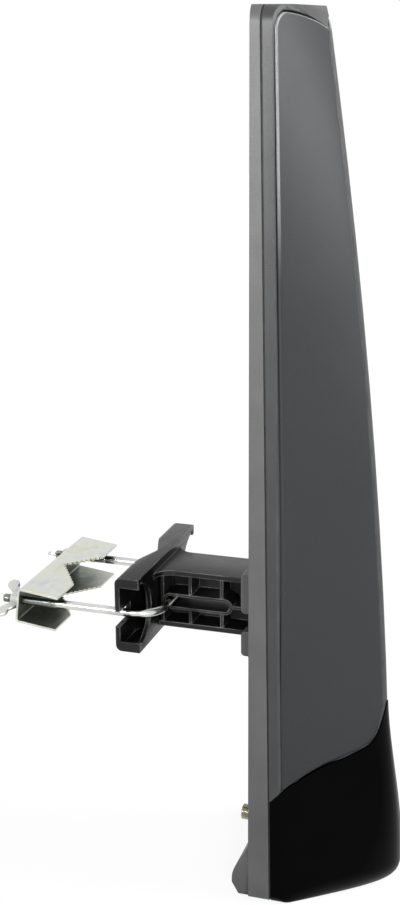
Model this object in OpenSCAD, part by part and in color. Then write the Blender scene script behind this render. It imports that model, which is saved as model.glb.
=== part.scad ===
// Outdoor TV antenna: slim tower housing on an adjustable mast bracket.
// Millimetres. X points to the front of the antenna, Z up, Y to its left.
// The origin is the middle of the jaw's mouth, level with the clamp rods.

/* [Housing] */
// Width of the housing across both flanks
housing_w = 100; // [88:1:112]
// Height of the housing
housing_h = 495; // [440:5:520]
// Height of the clamp rods above the lower end of the housing
clamp_h = 165; // [150:1:180]
// Distance from the jaw's mouth to the rear edges of the housing
rear_x = 78.5; // [76:0.5:90]
// How far the rear face bulges past its side edges
rear_crown = 4; // [2:0.5:5]
// Side depth of the rear shell at the upper end
seam_top_d = 5; // [4:0.5:8]
// Side depth of the rear shell at the lower end
seam_low_d = 12.5; // [10:0.5:15]
// Rounding of the housing's upper corners seen from the front
corner_r = 9; // [6:1:14]
// Rounding of the housing's lower corners seen from the front
low_corner_r = 4; // [3:0.5:8]
// Wall of both shells
wall = 2.2; // [1.8:0.1:2.8]
// Depth of the margin strip between seam and side panel
margin_d = 6.3; // [5:0.1:8]

/* [Nose] */
// Nose in front of the rear edges, at the upper end
nose_top_d = 28.5; // [25:0.5:34]
// Nose in front of the rear edges, at the cover
nose_low_d = 70; // [60:1:80]
// Forward bulge of the nose line between its two ends
nose_bulge = 5.5; // [3:0.5:8]
// Rounding of the nose ridge
nose_r = 3; // [2:0.5:5]
// Outward bulge of each flank
flank_bulge = 1.5; // [0.5:0.5:3]
// Drop of the sloped top face down to the nose
top_drop = 13; // [10:1:16]
// Run of the sloped top face
top_run = 10; // [8:1:14]

/* [Side panels] */
// Thickness of a side panel
panel_t = 1.6; // [1.2:0.1:2]
// Bevel round a side panel
panel_bevel = 1.1; // [0.6:0.1:1.3]
// Open groove round a side panel
groove_w = 1; // [0.6:0.1:1.4]
// Rim of the front shell outside the groove
rim_w = 1; // [0.8:0.1:2]
// Half width of the spine between the panels
spine_half = 2.6; // [2:0.2:4]
// Radius of a panel's upper rear corner
panel_corner_r = 8; // [5:1:12]
// Fall of a panel's upper edge towards the nose
panel_fall = 9; // [6:1:12]

/* [Lower cover] */
// Height of the cover's edge at the seam, above the lower end
cover_h = 64; // [55:1:75]
// Height that the cover's edge gains up to the nose
cover_rise = 49; // [40:1:55]
// How far the cover stands proud of the panels
cover_proud = 0.5; // [0.3:0.1:1]
// Forward flare of the cover's nose
cover_flare = 6; // [3:0.5:8]
// Rounding of the cover's nose at its lower end
cover_nose_r = 13; // [8:1:16]
// Rounding of the cover's lower front edge
cover_edge_r = 12; // [8:1:16]

/* [Rear foot and connector bay] */
// Rearward reach of the flared foot
foot_d = 11; // [8:0.5:14]
// Height of the flared foot
foot_h = 38; // [30:1:46]
// Width of the bay between the two halves of the foot
bay_w = 40; // [34:1:48]
// Height of the connector above the lower end
connector_h = 26; // [22:1:30]

/* [Connector] */
// Outer diameter of the coaxial socket
connector_d = 9.5; // [9:0.1:10]
// Reach of the socket behind the rear face
connector_reach = 14; // [12:0.5:16]
// Width across flats of the socket's nut
connector_nut_af = 11; // [11:0.5:13]
// Thickness of that nut
connector_nut_t = 2.5; // [2:0.1:3]
// Thickness of the rubber seal under the nut
connector_seal_t = 1; // [0.8:0.1:1.2]
// Wall of the socket
connector_wall = 1.2; // [1:0.1:1.4]
// Diameter of the inner contact
contact_d = 1.6; // [1.2:0.1:2]

/* [Arm] */
// Width of the arm
arm_w = 31; // [28:1:34]
// Height of the arm
arm_h = 35; // [32:1:38]
// Height of the arm's middle above the rods
arm_z = 2; // [0:0.5:3]
// Thickness of the arm's upper and lower flange
arm_flange_t = 3; // [2.5:0.1:3.5]
// Thickness of the ribs
rib_t = 1.8; // [1.4:0.1:2.2]
// Distance from the jaw's front to the first rib
rib_start = 18; // [16:1:20]
// Distance between the two upright ribs
rib_gap = 19; // [17:1:20]
// Clear height of the slot for the bolt
slot_h = 6.4; // [6:0.1:7]
// Clear length of the slot
slot_len = 39; // [36:1:40]
// Rim round the slot
slot_rim = 1.6; // [1.4:0.1:2]
// Half width of the foot plate
foot_plate_half = 20; // [18:0.5:22]
// Thickness of the foot plate
foot_plate_t = 4; // [3:0.5:5]
// Height of the foot plate
foot_plate_h = 50; // [46:1:54]

/* [Jaw] */
// Width of the jaw's crossbar
jaw_w = 97; // [92:1:104]
// Depth of the crossbar
jaw_d = 14.3; // [13:0.1:16]
// Height of the crossbar
jaw_h = 44; // [40:1:48]
// Height of the crossbar's middle above the rods
jaw_z = 2.8; // [0:0.2:4]
// Half width of the jaw's V
vee_half = 25; // [22:1:28]
// Depth of the jaw's V
vee_d = 8; // [6:0.5:9]
// Wall of the crossbar
jaw_wall = 2.8; // [2.4:0.1:3.2]
// Height of the lips at the crossbar's ends
lip_h = 5.8; // [4:0.2:7]
// Clear height of the notches for the rods
notch_h = 9; // [8:0.5:11]

/* [Clamp] */
// Diameter of the bolt's rod
rod_d = 5; // [4.8:0.1:5.2]
// Distance between the two rods
rod_gap = 75; // [73:1:78]
// Radius of the bolt's two bends, at the rod's middle
bend_r = 16; // [14:1:18]
// Length of the rods behind the jaw's mouth
rod_tail = 74; // [72:1:84]
// Play of the bolt in the slot
slot_play = 0.3; // [0.2:0.05:0.5]
// Length of the bridge
bridge_w = 92; // [90:1:98]
// Height of the bridge
bridge_h = 21; // [19:0.5:23]
// Depth of the bridge
bridge_d = 25; // [22:0.5:28]
// Sheet thickness of the bridge
sheet_t = 1.2; // [1:0.1:1.6]
// Outer radius of the bridge's folds
fold_r = 2.2; // [1.8:0.1:3]
// Distance from the jaw's mouth back to the bridge's web
bridge_back = 62; // [56:1:64]
// Forward lean of the loose bridge, in degrees
bridge_lean = 7; // [0:1:8]
// Half width of the bridge's V
tooth_vee_half = 25; // [22:1:27]
// Depth of the bridge's V
tooth_vee_d = 17; // [14:0.5:18]
// Number of teeth on each side of a V
teeth = 9; // [7:1:11]
// Depth of a tooth
tooth_d = 1.5; // [1:0.1:1.8]
// Radial play of the rods in the bridge's holes
hole_play = 0.7; // [0.6:0.05:0.9]

/* [Wing nuts] */
// Width across the wings
wing_span = 27; // [24:1:30]
// Height of the wings
wing_h = 12; // [10:0.5:14]
// Diameter of the nut's collar
nut_d = 10; // [9:0.5:11]
// Height of the nut's collar
nut_h = 6; // [5:0.5:7]
// Thickness of a wing
wing_t = 2.2; // [1.6:0.1:2.6]
// Radial play of the nut on its rod
nut_play = 0.06; // [0.04:0.01:0.1]
// Turn of the left nut from level, in degrees
left_turn = 158; // [90:1:180]
// Turn of the right nut from level, in degrees
right_turn = 29; // [0:1:90]

/* [Inner pieces] */
// Width of the receiving elements
radiator_w = 74; // [60:1:80]
// Gap between the amplifier board and the lower element
element_gap = 38; // [30:1:60]
// Sheet thickness of the elements
radiator_t = 0.8; // [0.6:0.1:1.2]
// Thickness of the boards
board_t = 1.6; // [1.2:0.1:2]
// Width of the amplifier board
board_w = 56; // [50:1:64]
// Height of the amplifier board
board_h = 70; // [60:1:76]
// Diameter of the inner lead
lead_d = 3; // [2:0.5:4]
// Diameter of the housing screws
screw_d = 3; // [2.5:0.1:3.5]
// Diameter of the housing screws' heads
screw_head_d = 6; // [5:0.5:6.5]

/* [Hidden] */
eps = 0.01;
seat = 0.05;
big = 2000;

half_w = housing_w / 2;
low_z = -clamp_h;
top_z = low_z + housing_h;

gasket_t = 1;
seam_lean = atan((seam_low_d - seam_top_d) / housing_h);
function seam_x(z) = rear_x + seam_top_d + (seam_low_d - seam_top_d) * (top_z - z) / housing_h;
function edge_x(z) = seam_x(z) + margin_d;

nose_hi_z = top_z - top_drop;
nose_lo_z = low_z + cover_h + cover_rise / 2;
function nose_x(z) = let (t = (z - nose_lo_z) / (nose_hi_z - nose_lo_z))
    rear_x + nose_low_d + (nose_top_d - nose_low_d) * t + 4 * nose_bulge * t * (1 - t);

// Flank surface: distance forward at width y and height z, ridge radius r, inset d
function ridge(y, r) = (sqrt(half_w * half_w + r * r) - sqrt(y * y + r * r))
    / (sqrt(half_w * half_w + r * r) - r);
function flank_x(y, z, d = 0) = let (s = abs(y) / half_w)
    edge_x(z) - d + (nose_x(z) - edge_x(z)) * ridge(y, nose_r) + 4 * flank_bulge * s * (1 - s);

// Cover surface: follows the flank, stands proud, flares and rounds off downwards
function smooth(t) = let (c = min(max(t, 0), 1)) c * c * (3 - 2 * c);
cover_top_z = low_z + cover_h + cover_rise;
function cover_t(z) = (cover_top_z - z) / (cover_h + cover_rise);
function cover_r(z) = nose_r + (cover_nose_r - nose_r) * smooth(cover_t(z));
function edge_pull(z, d) = let (r = cover_edge_r - d, h = min(max(z - low_z - d, 0), r))
    r - sqrt(max(r * r - (r - h) * (r - h), 0));
function cover_x(y, z, d) = let (s = min(abs(y) / half_w, 1))
    edge_x(z) + cover_proud - d
    + (nose_x(z) + cover_flare * smooth(cover_t(z) * 1.25) - edge_x(z)) * ridge(y, cover_r(z))
    + 4 * (flank_bulge + 2 * smooth(cover_t(z))) * s * (1 - s)
    - edge_pull(z, d) * (1 - s * s);

// Edge line of the cover: share of the way from seam to nose, share of the rise
cover_line = [[0, 0], [0.12, 0.15], [0.28, 0.27], [0.48, 0.38], [0.68, 0.44],
    [0.86, 0.51], [0.94, 0.66], [1, 1]];
cover_base_z = low_z + cover_h;
function line_x(share) = seam_x(cover_base_z)
    + share * (nose_x(cover_top_z) + cover_proud - seam_x(cover_base_z));
function line_z(share) = cover_base_z + cover_rise * share;
function cover_line_z(x) = line_z(lookup((x - line_x(0)) / (line_x(1) - line_x(0)), cover_line));

// Closed solid through a stack of rings with equal point counts
module loft(rings) {
    n = len(rings[0]);
    m = len(rings);
    points = [for (ring = rings) each ring];
    sides = [for (j = [0:m - 2], i = [0:n - 1]) let (k = (i + 1) % n) each [
        [j * n + i, j * n + k, (j + 1) * n + k], [j * n + i, (j + 1) * n + k, (j + 1) * n + i]]];
    caps = [[for (i = [n - 1:-1:0]) i], [for (i = [0:n - 1]) (m - 1) * n + i]];
    polyhedron(points, concat(sides, caps), convexity = 6);
}

function steps(a, b, n) = [for (i = [0:n]) a + (b - a) * i / n];
flank_shares = [1, 0.8, 0.6, 0.42, 0.26, 0.15, 0.09, 0.05, 0.03, 0.014];
flank_ys = concat([for (s = flank_shares) -s], [0], [for (i = [len(flank_shares) - 1:-1:0]) flank_shares[i]]);

// Prow from the seam forward, its surface moved inwards by d
module prow(d, back, z0, z1) {
    loft([for (z = steps(z0, z1, 12)) concat(
        [for (s = flank_ys) let (y = s * (half_w - d)) [flank_x(y, z, d * 1.25), -y, z]],
        [[seam_x(z) - back, -(half_w - d), z], [seam_x(z) - back, half_w - d, z]])]);
}

// Block whose corners seen from the front are rounded, from x0 to x1
module front_block(x0, x1, d) {
    y = half_w - d;
    translate([x0, 0, 0]) rotate([90, 0, 90]) linear_extrude(x1 - x0) {
        translate([-y, low_z + low_corner_r]) square([2 * y, housing_h - low_corner_r - corner_r]);
        for (end = [[low_z + d, 1, low_corner_r - d], [top_z - d, -1, corner_r - d]]) {
            r = end[2];
            z = end[0] + end[1] * r;
            translate([-y + r, min(end[0], z)]) square([2 * (y - r), r]);
            for (side = [-1, 1]) translate([side * (y - r), z]) circle(r, $fn = 48);
        }
    }
}

// Everything in front of the seam plane, moved forward by d
module ahead_of_seam(d) {
    translate([seam_x(low_z) + d, 0, low_z]) rotate([0, -seam_lean, 0])
        translate([0, -big / 2, -big / 2]) cube(big);
}

// Everything above the sloped top face, lowered by d
module above_top_face(d) {
    lean = atan2(top_drop, top_run);
    translate([nose_x(nose_hi_z) + eps, 0, nose_hi_z - d / cos(lean)]) rotate([0, lean, 0])
        translate([-big / 2, -big / 2, 0]) cube(big);
}

// Everything below the cover's edge line, lowered by gap
module below_cover_line(gap, reach = 60) {
    rotate([90, 0, 0]) translate([0, 0, -big / 4]) linear_extrude(big / 2) polygon(concat(
        [[rear_x - reach, low_z - reach], [rear_x - reach, line_z(0) - gap]],
        [for (p = cover_line) [line_x(p[0]), line_z(p[1]) - gap]],
        [[line_x(1) + reach, line_z(1) - gap], [line_x(1) + reach, low_z - reach]]));
}

// Upper edge of a side panel at width y
panel_out = half_w - rim_w - groove_w;
function panel_top(y) = let (s = 1 - abs(y) / half_w, c = max(abs(y) - (panel_out - panel_corner_r), 0))
    top_z - margin_d / 2 - panel_fall * s * s
    - (panel_corner_r - sqrt(max(panel_corner_r * panel_corner_r - c * c, 0)));
function panel_low(y) = cover_line_z(flank_x(y, cover_base_z + cover_rise / 2)) + groove_w;

// Plate on the flank between two widths, widened by grow, between two depths
function plate_ring_ys(a, b) = [for (t = [0, 0.1, 0.3, 0.5, 0.7, 0.85, 0.94, 1]) a + (b - a) * t];
module flank_plate(side, grow, depth_out, depth_in, bevel) {
    rows = 14;
    ys0 = plate_ring_ys(spine_half + groove_w - grow, panel_out + grow);
    n = len(ys0);
    layers = bevel > 0 ? [[bevel, depth_out], [0, depth_out + bevel], [0, depth_in]]
        : [[0, depth_out], [0, depth_in]];
    points = [for (layer = layers) let (
            a = spine_half + groove_w - grow + layer[0], b = panel_out + grow - layer[0],
            ys = plate_ring_ys(a, b))
        for (j = [0:rows], i = [0:n - 1]) let (
            y = ys[i], lo = panel_low(ys0[i]) - grow + layer[0],
            hi = panel_top(ys0[i]) + grow - layer[0], z = lo + (hi - lo) * j / rows)
        [flank_x(y, z) - layer[1], side * y, z]];
    m = n * (rows + 1);
    last = (len(layers) - 1) * m;
    function grid(o, flip) = [for (j = [0:rows - 1], i = [0:n - 2]) let (
        p = o + j * n + i, a = [p, p + 1, p + n + 1], b = [p, p + n + 1, p + n])
        each (flip ? [[a[2], a[1], a[0]], [b[2], b[1], b[0]]] : [a, b])];
    rim = concat([for (i = [0:n - 1]) i], [for (j = [1:rows]) j * n + n - 1],
        [for (i = [n - 2:-1:0]) rows * n + i], [for (j = [rows - 1:-1:1]) j * n]);
    k = len(rim);
    walls = [for (l = [0:len(layers) - 2], i = [0:k - 1]) let (
        p = rim[i] + l * m, q = rim[(i + 1) % k] + l * m) each [[q, p, p + m], [q, p + m, q + m]]];
    faces = concat(grid(0, false), grid(last, true), walls);
    polyhedron(points, side > 0 ? [for (f = faces) [f[2], f[1], f[0]]] : faces, convexity = 6);
}

// Rear face of the housing: a shallow arc through both side edges
crown_r = (half_w * half_w + rear_crown * rear_crown) / (2 * rear_crown);
function rear_face_x(y) = rear_x - rear_crown + crown_r - sqrt(crown_r * crown_r - y * y);
module rear_outline(d) {
    intersection() {
        translate([rear_x - rear_crown + crown_r, 0]) circle(crown_r - d, $fn = 240);
        translate([0, -half_w - 1]) square([rear_x * 2, housing_w + 2]);
    }
}

// Screws that close the housing
screw_y = half_w - wall - 4;
screw_zs = concat([low_z + foot_h + 6], steps(low_z + cover_h + 26, top_z - 25, 3));
boss_d = screw_head_d + 3;
screw_grip = 2.6;
screw_bite = 5;
module at_screws() {
    for (side = [-1, 1], z = screw_zs) translate([seam_x(z), side * screw_y, z]) children();
}
module along_x(x0, x1, r, fn = 40) {
    translate([x0, 0, 0]) rotate([0, 90, 0]) cylinder(h = x1 - x0, r = r, $fn = fn);
}

connector_z = low_z + connector_h;
connector_seat_x = rear_x - rear_crown - 0.1;
shank_d = connector_d - 0.4;
pad_x = rear_x - rear_crown - 0.5;
rail_wall = 4.5;
rail_lip_t = 3;
rail_lip_w = 3;
rail_r = 2.4;
rail_play = 0.3;
rail_x = pad_x - foot_plate_t - rail_lip_t - rail_play;
foot_plate_z = arm_z - 1;

// Flared foot: side profile extruded across the rear face, its walls inwards by d
foot_side = 4;
module foot_profile(y0, y1, d) {
    n = 18;
    front = rear_x + wall + 1 + d;
    translate([0, y1, 0]) rotate([90, 0, 0]) linear_extrude(y1 - y0) polygon(concat(
        [for (i = [0:n]) let (t = i / n)
            [rear_x - (foot_d - d) * smooth(t), low_z + foot_h - (foot_h - 10) * t - d]],
        [[rear_x - foot_d + d, low_z + 7], [rear_x - foot_d + 4 + d, low_z + d],
        [front, low_z + d], [front, low_z + foot_h - d]]));
}
module foot() {
    intersection() {
        difference() {
            foot_profile(-half_w + foot_side, half_w - foot_side, 0);
            translate([0, 0, connector_z]) along_x(0, rear_x - rear_crown + wall, bay_w / 2);
            translate([0, -bay_w / 2, low_z - 1])
                cube([rear_x - rear_crown + wall, bay_w, connector_z - low_z + 1]);
        }
        front_block(0, rear_x * 2, 0);
    }
}
module foot_hollow() {
    inner = bay_w / 2 + wall;
    outer = half_w - foot_side - wall;
    foot_profile(inner, outer, wall);
    foot_profile(-outer, -inner, wall);
}

module rear_shell() {
    color([0.36, 0.37, 0.37]) difference() {
        union() {
            difference() {
                intersection() {
                    translate([0, 0, low_z]) linear_extrude(housing_h) rear_outline(0);
                    front_block(rear_x - 2 * rear_crown, rear_x + 40, 0);
                }
                intersection() {
                    translate([0, 0, low_z]) linear_extrude(housing_h) rear_outline(wall);
                    front_block(rear_x - 2 * rear_crown, rear_x + 40, wall);
                }
                ahead_of_seam(0);
            }
            foot();
            translate([0, 0, connector_z]) along_x(connector_seat_x, rear_x, bay_w / 2 - 8);
            bracket_socket();
            difference() {
                at_screws() along_x(-seam_low_d, seam_low_d, boss_d / 2);
                translate([0, -half_w, low_z]) cube([rear_x, housing_w, housing_h]);
                ahead_of_seam(0);
            }
            board_posts();
            radiator_posts();
        }
        foot_hollow();
        at_screws() along_x(-rear_x / 2, rear_x, screw_d / 2 + 0.2);
        at_screws() along_x(-rear_x / 2, -screw_grip, screw_head_d / 2 + 0.3);
        translate([0, 0, connector_z]) along_x(0, rear_x * 2, shank_d / 2 + 0.1);
        post_holes();
    }
}

// Block of a rail, its two rear corners rounded
module rail_block(y0, width, x1, span) {
    size = [x1 - rail_x, span[1] - span[0]];
    translate([0, y0 + width, 0]) rotate([90, 0, 0]) linear_extrude(width) intersection() {
        translate([rail_x, span[0]]) square(size);
        union() {
            translate([rail_x + rail_r, span[0]]) square(size);
            translate([rail_x, span[0] + rail_r]) square([size[0], size[1] - 2 * rail_r]);
            for (z = [span[0] + rail_r, span[1] - rail_r])
                translate([rail_x + rail_r, z]) circle(rail_r, $fn = 32);
        }
    }
}
// Rails that take the foot plate, open upwards, with a floor below it
module bracket_socket() {
    inner = foot_plate_half + rail_play;
    low = foot_plate_z - foot_plate_h / 2;
    high = foot_plate_z + foot_plate_h / 2;
    split_low = low + foot_plate_h * 0.3;
    split_high = low + foot_plate_h * 0.52;
    translate([pad_x, -inner - rail_wall, low - 3])
        cube([rear_x - pad_x, 2 * (inner + rail_wall), foot_plate_h + 6]);
    for (side = [-1, 1], span = [[low, split_low], [split_high, high]])
        translate([0, side * (inner + rail_wall / 2), 0]) {
            rail_block(-rail_wall / 2, rail_wall, rear_x, span);
            rail_block(-rail_wall / 2 - (side > 0 ? rail_lip_w : 0), rail_wall + rail_lip_w,
                rail_x + rail_lip_t, span);
        }
    translate([rail_x + rail_lip_t, -inner, low - 3]) cube([foot_plate_t + 1, 2 * inner, 3 - seat]);
}

// Posts for the receiving elements
post_r = 3.2;
pilot_r = 1.1;
pilot_x = rear_x + 0.4;
feed_gap = 26;
top_gap = 22;
board_z0 = low_z + 9;
radiator_x = rear_x + seam_top_d - 1;
radiator_len = (top_z - top_gap - board_z0 - board_h - element_gap - feed_gap) / 2;
upper_z0 = top_z - top_gap - radiator_len;
lower_z1 = upper_z0 - feed_gap;
post_zs = [upper_z0 + 14, upper_z0 + radiator_len - 14, lower_z1 - 14, lower_z1 - radiator_len + 14];
post_y = radiator_w / 2 - 10;
module at_posts() {
    for (side = [-1, 1], z = post_zs) translate([0, side * post_y, z]) children();
}
module radiator_posts() {
    at_posts() along_x(rear_x - 1, radiator_x - seat, post_r);
}

// Posts for the amplifier board
board_x = rear_x + 4.5;
board_post_y = board_w / 2 - 5;
board_post_zs = [board_z0 + 6, board_z0 + board_h - 6];
module at_board_posts() {
    for (side = [-1, 1], z = board_post_zs) translate([0, side * board_post_y, z]) children();
}
module board_posts() {
    at_board_posts() along_x(rear_x - 2, board_x - seat, post_r);
}
module post_holes() {
    at_posts() along_x(pilot_x, radiator_x + 1, pilot_r);
    at_board_posts() along_x(pilot_x, board_x + 1, pilot_r);
}

// Bosses that take the screws, kept inside the given outer form
module screw_bosses() {
    difference() {
        intersection() {
            at_screws() along_x(gasket_t, screw_bite + 3, boss_d / 2);
            children();
        }
        at_screws() along_x(-1, screw_bite + 0.6, screw_d / 2 + seat);
    }
}
module front_shell() {
    color([0.33, 0.34, 0.34]) {
        front_skin();
        difference() {
            screw_bosses() prow(panel_t + 0.6, 0, low_z + cover_h + 12, top_z - wall);
            below_cover_line(0);
        }
    }
}
module front_skin() {
    difference() {
        intersection() {
            prow(0, 0, low_z + 20, top_z);
            front_block(rear_x, rear_x + 120, 0);
        }
        intersection() {
            prow(wall + panel_t + 0.3, 30, low_z, top_z);
            front_block(rear_x - 10, rear_x + 120, wall);
            translate([0, 0, -wall]) difference() {
                translate([0, -half_w, low_z]) cube([rear_x + 120, housing_w, housing_h]);
                above_top_face(wall);
            }
        }
        above_top_face(0);
        below_cover_line(0);
        for (side = [-1, 1]) flank_plate(side, groove_w, -3, panel_t + 0.1, 0);
        difference() {
            translate([0, -big / 2, -big / 2]) cube([big / 4, big, big]);
            ahead_of_seam(gasket_t);
        }
        at_screws() along_x(-1, screw_bite + 0.6, screw_d / 2 + seat);
    }
}

module side_panel(side) {
    color([0.30, 0.31, 0.32]) flank_plate(side, 0, 0, panel_t, panel_bevel);
}

module lower_cover() {
    color([0.05, 0.05, 0.05]) {
        cover_skin();
        intersection() {
            screw_bosses() cover_solid(wall / 2, 0, low_z + wall / 2);
            translate([0, -half_w, low_z]) cube([rear_x * 2, housing_w, cover_h - 10]);
        }
    }
}
module cover_skin() {
    difference() {
        cover_solid(0, 0, low_z);
        cover_solid(wall, 30, low_z + wall);
        translate([0, 0, eps]) cover_above();
        difference() {
            translate([0, -big / 2, -big / 2]) cube([big / 4, big, big]);
            ahead_of_seam(gasket_t);
        }
    }
}
module cover_above() {
    difference() {
        translate([rear_x - 20, -big / 4, low_z]) cube([big / 4, big / 2, housing_h]);
        below_cover_line(groove_w / 2);
    }
}
module cover_solid(d, back, z0) {
    low_steps = [0, 0.4, 1.2, 2.6, 5, 8, 12];
    zs = concat([for (s = low_steps) z0 + s * cover_edge_r / 12],
        [for (i = [1:11]) z0 + cover_edge_r + (cover_top_z + 2 - z0 - cover_edge_r) * i / 11]);
    intersection() {
        loft([for (z = zs) concat(
            [for (s = flank_ys) let (y = s * (half_w - d)) [cover_x(y, z, d), -y, z]],
            [[seam_x(z) - back, -(half_w - d), z], [seam_x(z) - back, half_w - d, z]])]);
        front_block(rear_x - 30, rear_x + 140, d);
    }
}

module shell_gasket() {
    color([0.06, 0.06, 0.06]) difference() {
        intersection() {
            front_block(rear_x, rear_x + 40, 0.4);
            ahead_of_seam(0);
        }
        front_block(rear_x - 10, rear_x + 60, wall);
        ahead_of_seam(gasket_t);
    }
}

module shell_screws() {
    color([0.55, 0.55, 0.52]) at_screws() {
        along_x(-screw_grip - seat - 2.2, -screw_grip - seat, screw_head_d / 2);
        along_x(-screw_grip - seat, screw_bite, screw_d / 2);
    }
}

module radiator(z0, tail) {
    difference() {
        union() {
            translate([radiator_x, -radiator_w / 2, z0]) cube([radiator_t, radiator_w, radiator_len]);
            translate([radiator_x, -6, tail > 0 ? z0 + radiator_len : z0 - 8]) cube([radiator_t, 12, 8]);
        }
        at_posts() along_x(rear_x, rear_x + 20, 1.7);
        for (z = [0.3, 0.55, 0.8])
            translate([0, 0, z0 + radiator_len * z]) rotate([0, 90, 0])
                cylinder(h = 400, r = 9, center = true, $fn = 48);
    }
}
module upper_radiator() {
    color([0.75, 0.76, 0.78]) radiator(upper_z0, -1);
}
module lower_radiator() {
    color([0.75, 0.76, 0.78]) radiator(lower_z1 - radiator_len, 1);
}
module radiator_screws() {
    color([0.6, 0.6, 0.58]) at_posts() {
        along_x(rear_x + 1, radiator_x + radiator_t + seat, 1);
        along_x(radiator_x + radiator_t + seat, radiator_x + radiator_t + 1.4, 2.4);
    }
}

lead_bend = 2 * lead_d;
feed_z = (lower_z1 + upper_z0) / 2;
feed_x = radiator_x + radiator_t + seat;
lead_x = feed_x + board_t + lead_bend;
lead_low_z = board_z0 + board_h - 8;
module balun_board() {
    color([0.1, 0.35, 0.2]) difference() {
        translate([feed_x, -12, lower_z1 - 4]) cube([board_t, 24, feed_gap + 8]);
        translate([0, 0, feed_z]) along_x(rear_x, rear_x * 2, lead_d / 2 + 0.1);
    }
}
// Inner lead: both ends bend back into holes of the boards
module coax_lead() {
    color([0.12, 0.12, 0.12]) {
        translate([lead_x, 0, lead_low_z + lead_bend])
            cylinder(h = feed_z - lead_low_z - 2 * lead_bend, r = lead_d / 2, $fn = 32);
        for (end = [[feed_z - lead_bend, 0, feed_x], [lead_low_z + lead_bend, 1, board_x]]) {
            translate([lead_x - lead_bend, 0, end[0]]) mirror([0, 0, end[1]]) rotate([90, 0, 0])
                rotate_extrude(angle = 90, $fn = 48) translate([lead_bend, 0]) circle(lead_d / 2, $fn = 32);
            translate([0, 0, end[0] + (end[1] == 0 ? lead_bend : -lead_bend)])
                along_x(end[2] + 0.3, lead_x - lead_bend, lead_d / 2, 32);
        }
    }
}
module amplifier_board() {
    color([0.1, 0.35, 0.2]) difference() {
        translate([board_x, -board_w / 2, board_z0]) cube([board_t, board_w, board_h]);
        at_board_posts() along_x(rear_x, rear_x + 20, 1.2);
        translate([0, 0, connector_z]) along_x(rear_x, rear_x + 20, contact_d / 2 + 0.1);
        translate([0, 0, lead_low_z]) along_x(rear_x, rear_x + 20, lead_d / 2 + 0.1);
    }
}
module shield_can() {
    x = board_x + board_t + seat;
    color([0.72, 0.73, 0.74]) difference() {
        translate([x, -15, board_z0 + 26]) cube([6, 30, 28]);
        translate([x - 1, -14.6, board_z0 + 26.4]) cube([6.6, 29.2, 27.2]);
    }
}
module board_screws() {
    color([0.6, 0.6, 0.58]) at_board_posts() {
        along_x(rear_x + 1, board_x + board_t + seat, 1);
        along_x(board_x + board_t + seat, board_x + board_t + 1.4, 2.2);
    }
}

connector_tip = rear_x - rear_crown - connector_reach;
nut_front = connector_seat_x - seat - connector_seal_t;
nut_back = nut_front - seat - connector_nut_t;
module connector_body() {
    color([0.8, 0.77, 0.62]) translate([0, 0, connector_z]) difference() {
        union() {
            along_x(connector_tip, nut_back - seat, connector_d / 2, 64);
            along_x(nut_back - seat - eps, board_x - seat, shank_d / 2, 64);
        }
        along_x(connector_tip - 1, board_x - 1.5, connector_d / 2 - connector_wall, 64);
        along_x(connector_tip, board_x + 1, contact_d / 2 + 0.5, 32);
    }
}
module connector_insulator() {
    color([0.9, 0.9, 0.86]) translate([0, 0, connector_z]) difference() {
        along_x(connector_tip + 1, board_x - 1.6, connector_d / 2 - connector_wall - 0.02, 64);
        along_x(connector_tip, board_x + 1, contact_d / 2 + 0.02, 32);
    }
}
module connector_contact() {
    color([0.85, 0.7, 0.35]) translate([0, 0, connector_z])
        along_x(connector_tip + 2, board_x + board_t + 1, contact_d / 2, 32);
}
module connector_nut() {
    color([0.8, 0.77, 0.62]) translate([0, 0, connector_z]) difference() {
        translate([nut_back, 0, 0]) rotate([0, 90, 0])
            cylinder(h = connector_nut_t, r = connector_nut_af / sqrt(3), $fn = 6);
        along_x(0, rear_x, shank_d / 2 + 0.02, 64);
    }
}
module connector_seal() {
    color([0.08, 0.08, 0.08]) translate([0, 0, connector_z]) difference() {
        along_x(nut_front, nut_front + connector_seal_t, connector_nut_af * 0.65, 64);
        along_x(0, rear_x, shank_d / 2 + 0.02, 64);
    }
}

// Mast bracket
slot_x0 = jaw_d + 3.9;
slot_z = slot_h / 2 - rod_d / 2 - slot_play;
cross_x = slot_x0 + slot_play + rod_d / 2;
arm_lo = arm_z - arm_h / 2;
arm_hi = arm_z + arm_h / 2;
jaw_lo = jaw_z - jaw_h / 2;
jaw_hi = jaw_z + jaw_h / 2;
foot_x = pad_x - seat - foot_plate_t;
flare_r = 10;
jaw_r = 3.5;

module stadium(x0, x1, z, h, w) {
    translate([0, w / 2, 0]) rotate([90, 0, 0]) linear_extrude(w) {
        translate([x0 + h / 2, z - h / 2]) square([x1 - x0 - h, h]);
        for (x = [x0 + h / 2, x1 - h / 2]) translate([x, z]) circle(h / 2, $fn = 48);
    }
}
module jaw_plan(d) {
    polygon([[d, -jaw_w / 2 + d], [d, -vee_half], [vee_d + d, 0], [d, vee_half], [d, jaw_w / 2 - d],
        [jaw_d, jaw_w / 2 - d], [jaw_d, -jaw_w / 2 + d]]);
}
module mast_bracket() {
    color([0.13, 0.13, 0.13]) difference() {
        union() {
            crossbar();
            arm();
        }
        stadium(slot_x0, slot_x0 + slot_len, slot_z, slot_h, arm_w + 10);
    }
}
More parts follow.
